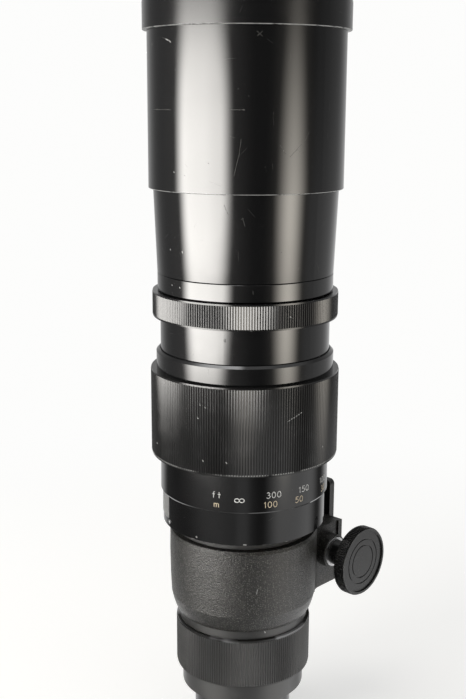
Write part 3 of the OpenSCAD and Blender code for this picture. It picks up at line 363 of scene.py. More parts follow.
STROKES = {
    "0": (0.62, [arc(0.31, 0.5, 0.31, 0.5, 90, 450, 24)]),
    "1": (0.3, [[(0.02, 0.8), (0.2, 1.0), (0.2, 0.0)]]),
    "2": (0.6, [arc(0.3, 0.7, 0.29, 0.3, 165, -35) + [(0.02, 0.0), (0.6, 0.0)]]),
    "3": (0.6, [arc(0.28, 0.76, 0.25, 0.24, 145, -90), arc(0.28, 0.27, 0.31, 0.27, 90, -145)]),
    "4": (0.66, [[(0.48, 0.0), (0.48, 1.0), (0.0, 0.28), (0.66, 0.28)]]),
    "5": (0.6, [[(0.55, 1.0), (0.13, 1.0), (0.06, 0.54)] + arc(0.28, 0.32, 0.32, 0.32, 110, -145)]),
    "6": (0.6, [arc(0.3, 0.3, 0.3, 0.3, 150, 510, 22), [(0.04, 0.45), (0.4, 1.0)]]),
    "7": (0.6, [[(0.0, 1.0), (0.6, 1.0), (0.2, 0.0)]]),
    "8": (0.6, [arc(0.3, 0.76, 0.25, 0.24, 0, 360, 20), arc(0.3, 0.26, 0.3, 0.26, 0, 360, 22)]),
    ".": (0.1, [[(0.03, 0.0), (0.07, 0.0)]]),
    "f": (0.52, [arc(0.34, 0.8, 0.16, 0.2, 70, 180) + [(0.18, 0.0)], [(0.0, 0.6), (0.38, 0.6)]]),
    "t": (0.5, [[(0.3, 0.95), (0.3, 0.0)], [(0.1, 0.6), (0.5, 0.6)]]),
    "m": (0.78, [[(0.0, 0.0), (0.0, 0.62)], arc(0.19, 0.42, 0.19, 0.2, 180, 0) + [(0.38, 0.0)],
                 arc(0.58, 0.42, 0.2, 0.2, 180, 0) + [(0.78, 0.0)]]),
    "∞": (1.5, [arc(0.37, 0.3, 0.37, 0.3, 0, 360, 22), arc(1.13, 0.3, 0.37, 0.3, 180, 540, 22)]),
    "|": (0.0, [[(0.0, 0.0), (0.0, 1.0)]]),
}
FIGURE_GAP = 0.34
FIGURE_PROUD = 0.00003


def ribbon(shape, points, width, wrap):
    """Lays one stroke as a strip with round ends; wrap puts a flat point on the ring."""
    fine = [Vector(points[0])]
    for point in points[1:]:
        gap = Vector(point) - fine[-1]
        parts = max(1, round(gap.length / (1.6 * width)))
        fine += [fine[-1] + gap * k / parts for k in range(1, parts + 1)]
    closed = (fine[0] - fine[-1]).length < 0.01 * width
    if closed:
        fine.pop()
    count = len(fine)
    pairs = []
    for k, point in enumerate(fine):
        before = fine[k - 1] if closed or k > 0 else point
        after = fine[(k + 1) % count] if closed or k < count - 1 else point
        along = (point - before).normalized() + (after - point).normalized()
        along.normalize()
        side = Vector((-along.y, along.x)) * width / 2
        pairs.append((shape.verts.new(wrap(point + side)), shape.verts.new(wrap(point - side))))
    for k in range(count if closed else count - 1):
        here, there = pairs[k], pairs[(k + 1) % count]
        shape.faces.new((here[0], here[1], there[1], there[0]))
    if closed:
        return
    for k, outward in ((0, fine[0] - fine[1]), (count - 1, fine[-1] - fine[-2])):
        outward = outward.normalized() * width / 2
        side = Vector((-outward.y, outward.x))
        turns = [math.pi * step / 6 for step in range(1, 6)]
        cap = [shape.verts.new(wrap(fine[k] - side * math.cos(turn) + outward * math.sin(turn)))
               for turn in turns]
        first, last = (pairs[k][0], pairs[k][1]) if k == 0 else (pairs[k][1], pairs[k][0])
        start = first if (cap[0].co - first.co).length < (cap[0].co - last.co).length else last
        end = last if start is first else first
        shape.faces.new((start, *cap, end))


def new_piece(name, shape, finish):
    """Makes an object of a built shape, with one finish."""
    mesh = bpy.data.meshes.new(name)
    shape.to_mesh(mesh)
    shape.free()
    mesh.materials.append(finish.material)
    piece = bpy.data.objects.new(name, mesh)
    bpy.context.scene.collection.objects.link(piece)
    return piece


def figures(name, text, azimuth, foot, height, pen, radius, body, finish):
    """Engraves figures centred on an azimuth, standing on a height, on a ring of the given radius."""
    width = sum(STROKES[sign][0] for sign in text) + FIGURE_GAP * (len(text) - 1)
    middle = AZIMUTH_ZERO + math.radians(azimuth)

    def wrap(point):
        turn = middle + point[0] / radius
        reach = radius + FIGURE_PROUD
        return reach * math.cos(turn), reach * math.sin(turn), foot + point[1]

    shape = bmesh.new()
    x = -width * height / 2
    for sign in text:
        for stroke in STROKES[sign][1]:
            ribbon(shape, [(x + px * height, py * height) for px, py in stroke], pen, wrap)
        x += (STROKES[sign][0] + FIGURE_GAP) * height
    bmesh.ops.recalc_face_normals(shape, faces=shape.faces)
    for face in shape.faces:
        out = face.calc_center_median().to_2d()
        if face.normal.to_2d().dot(out) < 0:
            face.normal_flip()
    piece = new_piece(name, shape, finish)
    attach(piece, body)


def fill_paint(name, colour):
    """Engraver's paint, a little dirty and thin in places."""
    paint = Finish(name, colour, 0.55)
    thin = paint.band(paint.noise(0.0009, 4.0), 0.45, 0.8)
    paint.tint(thin, tuple(0.45 * part for part in colour), strength=0.5)
    return paint


white_fill = fill_paint("white_fill", (0.86, 0.86, 0.84))
cream_fill = fill_paint("cream_fill", (0.86, 0.72, 0.52))
grey_fill = fill_paint("grey_fill", (0.14, 0.14, 0.135))

# Aperture scale: figures on the side of the base ring away from the camera, read against a stud on
# the knurled ring, which the nine-bladed iris follows.
FIRST_STOP = 112.0
STOP_STEP = 10.0
STOP_HEIGHT, STOP_PEN = 0.0026, 0.00034
STOP_FOOT = high("base_ring") - 0.0062
for place, stop in enumerate(("4.5", "5.6", "8", "11", "16", "22", "32")):
    figures(f"stop_{place}", stop, FIRST_STOP + place * STOP_STEP, STOP_FOOT, STOP_HEIGHT, STOP_PEN,
            outer_radius("base_ring"), "root", white_fill)


# Knurled rings: aluminium, cut with shallow straight ribs and anodised satin black. Hands have rubbed
# the crests. On the focus grip the rib ends at the rear are tinted bare metal grey, partly wear and
# partly a painted highlight of the light that their edges catch. The aperture ring is the first of
# them, polished along its front edge, with a painted highlight in light grey patches along it.
def knurled(name, pieces, crest, roughness, colour=(0.01, 0.01, 0.0105), rib_end_glint_and_wear=0.0, chips=()):
    """Anodised ribs to the crest's radius; rear rib ends tinted bare grey: wear and painted highlight."""
    finish = Finish(name, colour, roughness, Specular_IOR_Level=0.36)
    finish.patchy(0.02, roughness + 0.04)
    on_crest = finish.band(finish.radius, crest - 0.00014, crest - 0.00002)
    handled = finish.band(finish.noise(0.012, 4.0), 0.5, 0.8)
    finish.tint(finish.calc("MULTIPLY", on_crest, handled), (0.16, 0.16, 0.16), strength=0.25)
    on_rib = finish.band(finish.radius, crest - 0.0003, crest - 0.0001)
    foot = min(low(piece) for piece in pieces) + 0.001
    wear_and_glint = finish.calc("MULTIPLY", edge_zone(finish, [foot], 0.0009),
                         finish.band(finish.noise(0.012, 3.0), 0.4, 0.55))
    # Rib ends at the rear: bare metal grey, partly wear and partly a painted highlight of caught light.
    rib_end = finish.calc("MULTIPLY", wear_and_glint, on_rib)
    finish.tint(rib_end, BARE_METAL, strength=rib_end_glint_and_wear)
    if chips:
        lay_bare(finish, finish.calc("MULTIPLY", cut_marks(finish, chips, crest, 0.0008), on_rib))
    finish.tint(dust_grains(finish, 0.006, 0.00022, 0.12), DUST, strength=0.5)
    finish.on(*pieces)
    return finish


aperture_knurl = knurled("aperture_ring_knurl", ["aperture_ring"], outer_radius("aperture_ring"),
                         roughness=0.3, colour=(0.022, 0.0218, 0.021))
front_edge = edge_zone(aperture_knurl, [high("aperture_ring") - 0.0006], 0.0013)
aperture_knurl.roughen(front_edge, 0.14)
# Painted highlight: light grey patches along the front edge stand in for the light its bevel catches.
wear_and_glint = aperture_knurl.band(aperture_knurl.noise(0.03), 0.46, 0.56)
aperture_knurl.tint(aperture_knurl.calc("MULTIPLY", front_edge, wear_and_glint), (0.3, 0.3, 0.31))

# Iris: nine blued spring steel blades swing between a plate and the slotted cam ring. A tab through
# the rear barrel ties the cam ring to the aperture ring, and a sprung ball clicks at each stop.
blued_steel = Finish("blued_steel", (0.09, 0.095, 0.11), 0.35, Metallic=1.0)
blued_steel.patchy(0.003, 0.5)
blued_steel.on("cam_ring", *(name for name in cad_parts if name.startswith("iris_blade")))
dull_black.on("iris_plate", "iris_retaining_ring")
screw_steel.on("aperture_drive_tab", "click_ball", "click_spring")

# Rear barrel: the main tube, blackened dull so that no stray light gets through. It carries the
# smooth neck ring that keeps the collar on.
dull_black.on("rear_barrel")
enamel("neck_ring_enamel", ["neck_ring"], outer_radius("neck_ring"), roughness=0.3,
       colour=(0.019, 0.0188, 0.018), chips=[(18.3, 86.6, 18.9, 85.4)])

# Tripod collar: cast aluminium in black crinkle enamel, slit through its block so that the clamp
# screw can draw it tight round the bearing.
GRAIN_SIZE = 0.0009
crinkle = Finish("crinkle_enamel", (0.011, 0.0107, 0.0095), 0.38, Specular_IOR_Level=0.34)
grains = crinkle.node("ShaderNodeTexVoronoi")
crinkle.feed(grains.inputs["Vector"], crinkle.place)
grains.inputs["Scale"].default_value = 1 / GRAIN_SIZE
crinkle.raise_by(crinkle.calc("SUBTRACT", 1.0, grains.outputs["Distance"]), 0.0002)
grain_tone = crinkle.node("ShaderNodeSeparateXYZ")
crinkle.feed(grain_tone.inputs[0], grains.outputs["Color"])
grain_tops = crinkle.near(grains.outputs["Distance"], 0.5, 0.2)
crinkle.tint(crinkle.calc("MULTIPLY", grain_tops, grain_tone.outputs[0]), (0.14, 0.1365, 0.1245))
bare_spot = cut_marks(crinkle, [(10.0, 120.6, 9.3, 117.4)], outer_radius("tripod_collar"), 0.0007)
crinkle.tint(bare_spot, BARE_METAL, strength=0.6)
crinkle.on("tripod_collar")

# Foot plate: a flat milled bar with a long tongue, two pairs of countersunk screws and a threaded
# steel bushing for the tripod.
enamel("foot_plate_enamel", ["foot_plate"], 0.06, roughness=0.5)
screw_steel.on("foot_screws", "tripod_bushing")

# Clamp knob: a turned wheel with a fine knurled edge and two grooves in its face, on a steel washer.
# The edge of its face is worn.
knob = Finish("knob_black", (0.008, 0.008, 0.008), 0.27, Specular_IOR_Level=0.36)
knob.patchy(0.012, 0.38)
knob.tint(dust_grains(knob, 0.004, 0.0002, 0.12), DUST, strength=0.5)
knob_low, knob_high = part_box("clamp_knob")
knob_middle = ((knob_low.y + knob_high.y) / 2, (knob_low.z + knob_high.z) / 2)
knob_radius = (knob_high.z - knob_low.z) / 2
aside = knob.calc("SUBTRACT", knob.y, knob_middle[0])
above = knob.calc("SUBTRACT", knob.height, knob_middle[1])
from_screw = knob.calc("SQRT", knob.calc("ADD", knob.calc("MULTIPLY", aside, aside),
                                         knob.calc("MULTIPLY", above, above)))
face_lip = knob.calc("MULTIPLY", knob.band(knob.x, knob_high.x - 0.0004, knob_high.x - 0.0001),
                     knob.band(from_screw, knob_radius - 0.0016, knob_radius - 0.0011))
knob.tint(knob.calc("MULTIPLY", face_lip, knob.band(knob.noise(0.004, 3.0), 0.4, 0.6)), (0.06, 0.06, 0.057))
knob.on("clamp_knob")
washer = Finish("washer_steel", (0.6, 0.6, 0.6), 0.4, Metallic=1.0)
washer.patchy(0.002, 0.45, end=0.6)
washer.on("clamp_washer")

# Index ring: fixed, in front of the collar, with a small dot to turn the collar to and the line that
# the distances are read against. A bare satin-chromed plate lies round its left side, with a screw
# under each of its lower corners.
INDEX_RADIUS = outer_radius("index_ring")
enamel("index_ring_enamel", ["index_ring"], INDEX_RADIUS, roughness=0.07, fine_scratches=0.01,
       bare_rims=[low("index_ring") + 0.0003], bare_share=0.15, chips=[(-0.4, 154.4, 1.2, 154.4)])
LINE_TURN, LINE_LENGTH, LINE_WIDTH = 103.0, 0.0068, 0.0006
figures("index_line", "|", LINE_TURN, high("index_ring") - 0.0075, LINE_LENGTH, LINE_WIDTH, INDEX_RADIUS,
        "root", white_fill)


DISC_SIDES = 24


def disc(name, azimuth, height, size, radius, body, finish, proud):
    """A round spot on a ring: a low drum with a flat face."""
    middle = AZIMUTH_ZERO + math.radians(azimuth)
    shape = bmesh.new()
    rings = []
    for reach, share in ((radius - 0.0002, 1.0), (radius + 0.7 * proud, 1.0), (radius + proud, 0.86)):
        rings.append([])
        for k in range(DISC_SIDES):
            angle = 2 * math.pi * k / DISC_SIDES
            turn = middle + size * share * math.cos(angle) / radius
            rings[-1].append(shape.verts.new((reach * math.cos(turn), reach * math.sin(turn),
                                              height + size * share * math.sin(angle))))
    for lower, upper in zip(rings, rings[1:]):
        for k in range(DISC_SIDES):
            after = (k + 1) % DISC_SIDES
            shape.faces.new((lower[k], lower[after], upper[after], upper[k]))
    shape.faces.new(rings[-1])
    bmesh.ops.recalc_face_normals(shape, faces=shape.faces)
    piece = new_piece(name, shape, finish)
    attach(piece, body)


disc("collar_dot", -34.3, 0.1557, 0.0007, INDEX_RADIUS, "root", grey_fill, 0.00005)
disc("aperture_stud", FIRST_STOP + 2 * STOP_STEP, low("aperture_ring") + 0.0035, 0.0011,
     outer_radius("aperture_ring") - 0.0002, "aperture", white_fill, 0.0003)

PLATE_START, PLATE_END = -65.0, -140.0
PLATE_LOW, PLATE_HIGH = 0.1596, 0.1757
PLATE_CORNER = 0.0012
PLATE_THICKNESS, PLATE_SINK = 0.0003, 0.0001
PLATE_COLUMNS = 48
PLATE_SCREW_HEIGHT, PLATE_SCREW_SIZE = 0.1575, 0.0014
plate_shape = bmesh.new()
plate_columns = []
plate_length = math.radians(PLATE_START - PLATE_END) * INDEX_RADIUS
for k in range(PLATE_COLUMNS + 1):
    share = k / PLATE_COLUMNS
    along = plate_length * (0.5 - 0.5 * math.cos(math.pi * share))
    from_end = min(along, plate_length - along)
    short = max(0.0, PLATE_CORNER - from_end)
    inset = PLATE_CORNER - math.sqrt(PLATE_CORNER ** 2 - short ** 2)
    turn = AZIMUTH_ZERO + math.radians(PLATE_END) + along / INDEX_RADIUS
    column = []
    for reach, height in ((INDEX_RADIUS - PLATE_SINK, PLATE_LOW + inset),
                          (INDEX_RADIUS + PLATE_THICKNESS, PLATE_LOW + inset),
                          (INDEX_RADIUS + PLATE_THICKNESS, PLATE_HIGH - inset),
                          (INDEX_RADIUS - PLATE_SINK, PLATE_HIGH - inset)):
        column.append(plate_shape.verts.new((reach * math.cos(turn), reach * math.sin(turn), height)))
    plate_columns.append(column)
for here, there in zip(plate_columns, plate_columns[1:]):
    for k in range(3):
        plate_shape.faces.new((here[k], there[k], there[k + 1], here[k + 1]))
plate_shape.faces.new(plate_columns[0])
plate_shape.faces.new(plate_columns[-1])
bmesh.ops.recalc_face_normals(plate_shape, faces=plate_shape.faces)
satin_chrome = Finish("satin_chrome", (0.3, 0.3, 0.295), 0.4, Metallic=0.5, Specular_IOR_Level=0.3)
satin_chrome.patchy(0.003, 0.55)
satin_chrome.tint(satin_chrome.hairlines(0.003, 0.005, 0.00012, 0.5), (0.4, 0.4, 0.4), strength=0.4)
plate = new_piece("index_plate", plate_shape, satin_chrome)
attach(plate, "root")
for number, azimuth in enumerate((PLATE_START + 0.6, PLATE_END - 0.6)):
    disc(f"plate_screw_{number}", azimuth, PLATE_SCREW_HEIGHT, PLATE_SCREW_SIZE, INDEX_RADIUS, "root",
         screw_steel, 0.0005)

# Fixed helicoid and its keys: greased brass, screwed to the rear barrel's flange inside the focus
# section, with the block that stops the focus ring at both ends of its travel.
brass = Finish("greased_brass", (0.5, 0.34, 0.13), 0.28, Metallic=1.0)
brass.patchy(0.008, 0.45, end=0.65)
brass.on("fixed_helicoid", "guide_keys")
screw_steel.on("helicoid_screws", "focus_stop")

# Distance scale: a smooth enamelled ring that turns with the grip, engraved with feet over metres.
# A figure's place follows from the drive's even pitch: its turn is inverse to the distance.
SCALE_RADIUS = outer_radius("scale_ring")
SCALE_DRAFT = 0.0002
scale = enamel("scale_ring_enamel", ["scale_ring"], SCALE_RADIUS, roughness=0.07, fine_scratches=0.01)
scale_foot = edge_zone(scale, [low("scale_ring") + 0.0004], 0.0006)
scale.tint(scale_foot, (0.12, 0.12, 0.12), strength=0.3)
FIGURE_HEIGHT = 0.0039
FIGURE_PEN = 0.00044
FEET_FOOT, METRES_FOOT = 0.1863, 0.18
FEET_TURN, METRES_TURN, FAR_AZIMUTH = 7050.0, 2140.0, -4.4


def scale_radius(height):
    """The ring tapers a little towards the grip."""
    share = (height - low("scale_ring")) / (high("scale_ring") - low("scale_ring"))
    return SCALE_RADIUS - SCALE_DRAFT * share


for foot, turn, distances, paint in (
        (FEET_FOOT, FEET_TURN, (300, 150, 100, 70, 50, 40, 33), white_fill),
        (METRES_FOOT, METRES_TURN, (100, 50, 30, 20, 15, 12, 10), cream_fill)):
    for distance in distances:
        figures(f"distance_{paint.material.name}_{distance}", str(distance), FAR_AZIMUTH + turn / distance,
                foot, FIGURE_HEIGHT, FIGURE_PEN, scale_radius(foot), "focus", paint)
FAR_SIGN_TURN, FAR_SIGN_FOOT = -3.5, 0.1841
figures("distance_far", "∞", FAR_SIGN_TURN, FAR_SIGN_FOOT, 0.0042, 0.0006, scale_radius(FAR_SIGN_FOOT),
        "focus", white_fill)
UNIT_TURN = -18.6
figures("unit_feet", "ft", UNIT_TURN, FEET_FOOT, FIGURE_HEIGHT, FIGURE_PEN * 1.05,
        scale_radius(FEET_FOOT), "focus", white_fill)
figures("unit_metres", "m", UNIT_TURN, METRES_FOOT, FIGURE_HEIGHT, FIGURE_PEN * 1.15,
        scale_radius(METRES_FOOT), "focus", cream_fill)

# Focus grip, lip ring and drive: the wide knurled grip is locked to the brass drive helicoid by two
# set screws, and the bevelled lip ring closes its front.
knurled("focus_grip_knurl", ["focus_grip"], outer_radius("focus_grip"), roughness=0.07,
        colour=(0.012, 0.012, 0.0118), rib_end_glint_and_wear=1.0,
        chips=[(-27.4, 249.6, -26.8, 248.4), (-24.4, 248.2, -23.4, 247.2), (-28.8, 240.6, -28.2, 239.6),
               (34.5, 242.9, 24.9, 238.4), (-66.8, 214.2, -66.4, 213.2), (53.3, 215.8, 53.8, 214.8),
               (-11.2, 212.9, -10.6, 212.1), (-25.2, 212.5, -24.8, 211.7)])
brass.on("drive_helicoid")
screw_steel.on("grip_set_screws")
enamel("lip_ring_enamel", ["lip_ring"], outer_radius("lip_ring"), roughness=0.09)

# Head barrel and key tube: the smooth barrel slides out on two keys as the drive turns, and takes the
# rear lens tube with it. The screws through it are flush and enamelled over.
enamel("head_barrel_enamel", ["head_barrel", "key_tube_screws"], outer_radius("head_barrel"))
dull_black.on("key_tube", "rear_lens_tube", "tube_baffle")

# Union ring: a narrow aluminium nut, knurled and anodised black. It locks the front half of the lens
# to the head barrel.
knurled("union_ring_knurl", ["union_ring"], outer_radius("union_ring"), roughness=0.1,
        chips=[(26.0, 305.4, 26.9, 304.7), (29.3, 314.6, 29.9, 314.0), (2.6, 297.6, 3.4, 297.0),
               (-18.4, 313.4, -17.8, 312.8)])

# Seat ring and tapered barrel: the shoulder of the front half and the long cone that the hood slides
# over, both turned and enamelled.
enamel("seat_ring_enamel", ["seat_ring"], outer_radius("seat_ring"),
       chips=[(-53.6, 321.6, -53.2, 321.2), (-45.6, 320.9, -45.2, 320.6)],
       scratches=[(4.0, 321.9, 4.1, 319.8)])
enamel("tapered_barrel_enamel", ["tapered_barrel"], outer_radius("tapered_barrel"),
       chips=[(-42.6, 343.9, -42.0, 343.1), (-53.9, 344.1, -53.6, 343.7)],
       scratches=[(-13.3, 374.2, -10.9, 368.3), (-2.6, 366.6, -1.1, 361.8), (-3.4, 365.6, -2.0, 366.4),
                  (20.6, 345.6, 21.4, 345.2)])

# Front and rear cells: black anodised rings that hold coated glass. The spacers, retaining rings and
# the felt that the hood runs on are as dark.
cell_black = Finish("cell_black", (0.014, 0.014, 0.015), 0.4)
cell_black.patchy(0.004, 0.55)
cell_black.on("front_cell", "front_cell_ring", "rear_cell", "rear_cell_ring")
dull_black.on("front_spacers")
glass = Finish("coated_glass", (0.93, 0.97, 1.0), 0.0, Transmission_Weight=1.0, IOR=1.52,
               Specular_Tint=(0.68, 0.62, 1.0, 1))
glass.roughen(glass.calc("MULTIPLY", dust_grains(glass, 0.005, 0.0002, 0.1), 0.6), 0.5)
glass.on("front_element_outer", "front_element_middle", "front_element_inner",
         "rear_element_front", "rear_element_back")
felt = Finish("felt", (0.01, 0.01, 0.012), 0.95)
felt.raise_by(felt.noise(0.0004, 4.0), 0.0002)
felt.on("felt_rings")

# Hood and rim ring: a sliding tube, enamelled outside and dull black inside, with a thicker ring
# shrunk on its front. The ring's rear edge is bare metal grey all round, partly rubbed through and
# partly a painted highlight of the light from below that its chamfer catches.
HOOD_RADIUS = outer_radius("hood")
HOOD_WALL = 0.0016
hood = enamel("hood_enamel", ["hood"], HOOD_RADIUS,
              bare_rims=[low("hood") + 0.0002], bare_share=0.65,
              chips=[(-50.6, 471.2, -48.3, 470.4), (-47.6, 470.1, -46.4, 469.4),
                     (-44.6, 393.0, -44.2, 392.6)],
              scratches=[(-53.8, 472.3, -50.6, 471.2), (-36.9, 391.4, -36.0, 390.8),
                         (-21.9, 399.1, -21.1, 398.9), (-3.4, 413.3, -4.5, 404.1),
                         (-4.5, 404.1, -6.4, 395.8), (-6.4, 395.8, -7.1, 391.9),
                         (17.7, 410.0, 21.0, 404.9), (23.6, 402.8, 30.6, 410.3), (24.2, 415.8, 24.5, 415.4),
                         (-65.4, 429.9, -47.3, 429.9), (-9.4, 430.2, -2.0, 430.2), (4.5, 474.6, 7.4, 471.9),
                         (4.8, 472.1, 7.4, 474.6), (0.5, 438.3, 0.7, 437.9), (9.4, 397.1, 9.7, 396.9),
                         (14.0, 428.6, 13.7, 427.9), (-2.3, 430.6, -1.7, 429.8)])
hood.roughen(hood.calc("LESS_THAN", hood.radius, HOOD_RADIUS - HOOD_WALL / 2), 0.8)
# Rim's rear edge: bare metal grey, partly wear and partly a painted highlight of light from below.
rim = enamel("hood_rim_enamel", ["hood_rim"], outer_radius("hood_rim"), roughness=0.14,
             bare_rims=[low("hood_rim") + 0.0002], bare_share=0.65,
             scratches=[(-25.3, 488.4, -24.8, 488.0)])
rim.roughen(rim.calc("LESS_THAN", rim.radius, HOOD_RADIUS - HOOD_WALL / 2), 0.8)

# Studio: a white table that runs on without an edge. The eye sees it white, also through glass. The
# lens's own gloss sees the room painted below instead, so the table is left out of its reflections.
WHITE = 0.98
BACKGROUND = (1, 1, 0.992, 1)
OPEN_TABLE = 0.64  # how light the lamps alone make the paper, clear of the shadow
TABLE_REACH = 20
paper = Finish("white_paper", (0.86, 0.86, 0.85), 0.9, Specular_IOR_Level=0.0)
glow = paper.node("ShaderNodeEmission")
glow.inputs["Color"].default_value = BACKGROUND
rays = paper.node("ShaderNodeLightPath")
seen = paper.calc("MAXIMUM", rays.outputs["Is Camera Ray"], rays.outputs["Is Transmission Ray"])
faded = paper.band(paper.radius, 0.2, 0.7)
glow_share = paper.calc("ADD", 0.25, paper.calc("MULTIPLY", faded, 0.75))
unshaded = paper.calc("MULTIPLY", paper.calc("SUBTRACT", 1.0, glow_share), OPEN_TABLE)
open_white = paper.calc("SUBTRACT", 1.0, paper.calc("MULTIPLY", faded, 1 - WHITE))
rest = paper.calc("SUBTRACT", open_white, unshaded)
paper.feed(glow.inputs["Strength"], paper.calc("DIVIDE", rest, glow_share))
blend = paper.node("ShaderNodeMixShader")
paper.feed(blend.inputs[0], paper.calc("MULTIPLY", seen, glow_share))
paper.feed(blend.inputs[1], paper.shader.outputs[0])
paper.feed(blend.inputs[2], glow.outputs[0])
paper.feed(paper.tree.nodes["Material Output"].inputs["Surface"], blend.outputs[0])

floor_shape = bmesh.new()
bmesh.ops.create_grid(floor_shape, x_segments=1, y_segments=1, size=TABLE_REACH)
floor = new_piece("table", floor_shape, paper)
floor.location = (0, 0, cad_box[0][2])
floor.visible_glossy = False

# The room: a broad softbox left of the camera, a weaker one to the right, dark behind the camera and
# lighter behind the lens. Directions are azimuth and height in degrees.
world = bpy.data.worlds.new("white_room")
bpy.context.scene.world = world
world.use_nodes = True
room = Wiring(world.node_tree)
facing = room.node("ShaderNodeVectorRotate", rotation_type="Z_AXIS")
room.feed(facing.inputs["Vector"], room.node("ShaderNodeTexCoord").outputs["Generated"])
facing.inputs["Angle"].default_value = -AZIMUTH_ZERO
split = room.node("ShaderNodeSeparateXYZ")
room.feed(split.inputs[0], facing.outputs[0])
around = room.calc("MULTIPLY", room.calc("ARCTAN2", split.outputs[1], split.outputs[0]), 180 / math.pi)
up = room.calc("MULTIPLY", room.calc("ARCSINE", split.outputs[2]), 180 / math.pi)


def between(value, start, full, lasts, end):
    """0 before start, 1 from full to lasts, 0 past end."""
    return room.calc("MULTIPLY", room.band(value, start, full), room.near(value, end, lasts))


def product(*values):
    total = values[0]
    for value in values[1:]:
        total = room.calc("MULTIPLY", total, value)
    return total


def total_of(*values):
    total = values[0]
    for value in values[1:]:
        total = room.calc("ADD", total, value)
    return total


def length_of(*parts):
    """Length of a vector with these parts."""
    return room.calc("SQRT", total_of(*(room.calc("POWER", part, 2.0) for part in parts)))


LEFT_BOX_TURN, LEFT_BOX_HALF_WIDTH = -53.0, 11.0
LEFT_BOX_TOP, LEFT_BOX_FOOT = -1.5, -8.8
LEFT_BOX_LIGHT, LEFT_BOX_SKIRT = 20.8, 0.45
left_turn = room.calc("ABSOLUTE", room.calc("SUBTRACT", around, LEFT_BOX_TURN))
left_aside = room.calc("SUBTRACT", left_turn, LEFT_BOX_HALF_WIDTH)
left_above = room.calc("MULTIPLY", room.calc("SUBTRACT", up, LEFT_BOX_TOP), 3.0)
left_below = room.calc("MULTIPLY", room.calc("SUBTRACT", up, LEFT_BOX_FOOT), -3.2)
left_reach = length_of(*(room.calc("MAXIMUM", past, 0.0) for past in (left_aside, left_above, left_below)))
left_fade = product(room.calc("SUBTRACT", 1.0, room.calc("MULTIPLY", room.band(up, -3, 9), 0.5)),
                    room.calc("SUBTRACT", 1.0, room.calc("MULTIPLY", room.band(around, -52, -30), 0.14)),
                    room.calc("ADD", 1.0, room.calc("MULTIPLY", room.near(up, -8, -13), 0.1)))
left_box = total_of(product(room.near(left_reach, 28.5, 10.5), left_fade, LEFT_BOX_LIGHT),
                    product(room.near(left_reach, 55, 15), LEFT_BOX_SKIRT))

RIGHT_BOX_TURN, RIGHT_BOX_HEIGHT = 55.0, -10.0
RIGHT_BOX_HALF_WIDTH, RIGHT_BOX_RISE, RIGHT_BOX_DROP = 24.0, 18.0, 10.5
RIGHT_BOX_LIGHT, RIGHT_BOX_SKIRT = 9.0, 0.8
right_aside = room.calc("DIVIDE", room.calc("SUBTRACT", around, RIGHT_BOX_TURN), RIGHT_BOX_HALF_WIDTH)
right_height = room.calc("SUBTRACT", up, RIGHT_BOX_HEIGHT)
right_up = room.calc("DIVIDE", room.calc("MAXIMUM", right_height, 0.0), RIGHT_BOX_RISE)
right_down = room.calc("DIVIDE", room.calc("MINIMUM", right_height, 0.0), RIGHT_BOX_DROP)
right_reach = length_of(right_aside, right_up, right_down)
right_box = total_of(product(room.near(right_reach, 1.0), RIGHT_BOX_LIGHT),
                     product(room.near(right_reach, 1.5), RIGHT_BOX_SKIRT))

DARK_ROOM = 0.11
off = room.calc("ABSOLUTE", around)  # how far round from the camera, on either side
walls = total_of(DARK_ROOM,
                 product(room.band(off, 76, 90), 0.12),
                 product(room.band(off, 90, 115), 0.06),
                 product(room.band(off, 125, 155), 0.25),
                 product(room.band(around, 70, 90), room.near(up, 4, -10), 0.25))
table = total_of(DARK_ROOM,
                 product(between(around, -85, -50, 0, 22), 0.27),
                 product(between(around, -16, -5, 0, 12), 0.22),
                 product(between(around, 24, 52, 96, 125), 1.1),
                 product(room.band(off, 128, 150), 0.6),
                 product(between(up, -62, -44, -34, -26), 0.9),
                 product(between(up, -62, -44, -32, -27), between(around, 0, 30, 110, 140), 1.0))
ceiling = product(room.band(up, 35, 60), total_of(0.9, product(between(around, -110, -80, -25, 5), 6.0)))
horizon = room.near(up, -14, -18)
studio = total_of(product(walls, room.calc("SUBTRACT", 1.0, horizon)), product(table, horizon), ceiling)

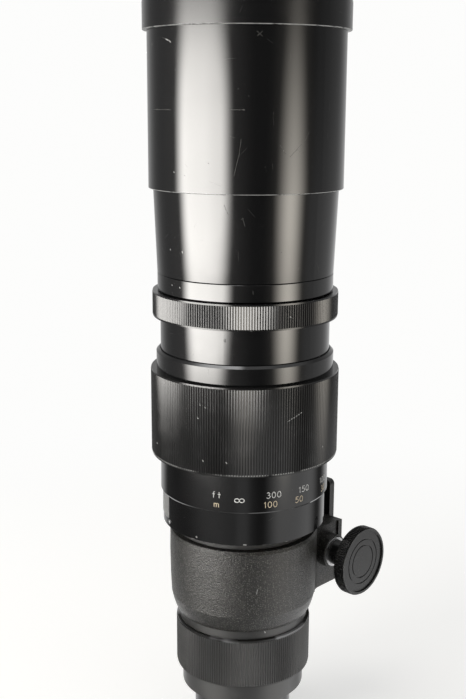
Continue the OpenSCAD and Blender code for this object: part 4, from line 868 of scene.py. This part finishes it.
WARM, WARMER = (1.0, 0.975, 0.935, 1), (1.0, 0.94, 0.84, 1)
hue = room.node("ShaderNodeMix", data_type="RGBA")
room.feed(hue.inputs["Factor"], room.band(around, 0, 30))
hue.inputs[6].default_value = WARM
hue.inputs[7].default_value = WARMER
shine = room.node("ShaderNodeEmission")
room.feed(shine.inputs["Color"], hue.outputs[2])
room.feed(shine.inputs["Strength"], room.calc("ADD", left_box, right_box))
plain = room.node("ShaderNodeEmission")
room.feed(plain.inputs["Strength"], studio)
gloss_sees = room.node("ShaderNodeAddShader")
room.feed(gloss_sees.inputs[0], shine.outputs[0])
room.feed(gloss_sees.inputs[1], plain.outputs[0])

AMBIENT = 0.4
ray = room.node("ShaderNodeLightPath")
backdrop = room.tree.nodes["Background"]
eye = room.calc("MAXIMUM", ray.outputs["Is Camera Ray"], ray.outputs["Is Transmission Ray"])
backdrop.inputs["Color"].default_value = BACKGROUND
backdrop_light = room.calc("ADD", AMBIENT, room.calc("MULTIPLY", eye, WHITE - AMBIENT))
room.feed(backdrop.inputs["Strength"], backdrop_light)
choice = room.node("ShaderNodeMixShader")
room.feed(choice.inputs[0], ray.outputs["Is Glossy Ray"])
room.feed(choice.inputs[1], backdrop.outputs[0])
room.feed(choice.inputs[2], gloss_sees.outputs[0])
room.feed(room.tree.nodes["World Output"].inputs["Surface"], choice.outputs[0])
world.cycles.sampling_method = "NONE"


# Fill lamps: large soft lamps that shade the matt pieces and lay the shadow on the table. The gloss
# doesn't see them. Places are azimuth in degrees, then height, distance and width in metres.
LENS_MIDDLE = Vector((0, 0, 0.25))


def fill_lamp(name, azimuth, height, distance, width, power, colour):
    """A round lamp that looks at the middle of the lens."""
    lamp = bpy.data.lights.new(name, "AREA")
    lamp.shape = "DISK"
    lamp.size = width
    lamp.energy = power
    lamp.color = colour
    light = bpy.data.objects.new(name, lamp)
    turn = AZIMUTH_ZERO + math.radians(azimuth)
    light.location = (distance * math.cos(turn), distance * math.sin(turn), height)
    aim = LENS_MIDDLE - light.location
    light.rotation_euler = aim.to_track_quat("-Z", "Y").to_euler()
    light.visible_glossy = False
    bpy.context.scene.collection.objects.link(light)


fill_lamp("left_fill", -52, 0.9, 1.3, 0.7, 7, WARM[:3])
fill_lamp("right_fill", 62, 0.6, 1.4, 0.8, 0.8, WARM[:3])
fill_lamp("top_fill", -100, 1.7, 0.9, 0.8, 8, WARM[:3])

bpy.context.scene.view_settings.view_transform = "Standard"
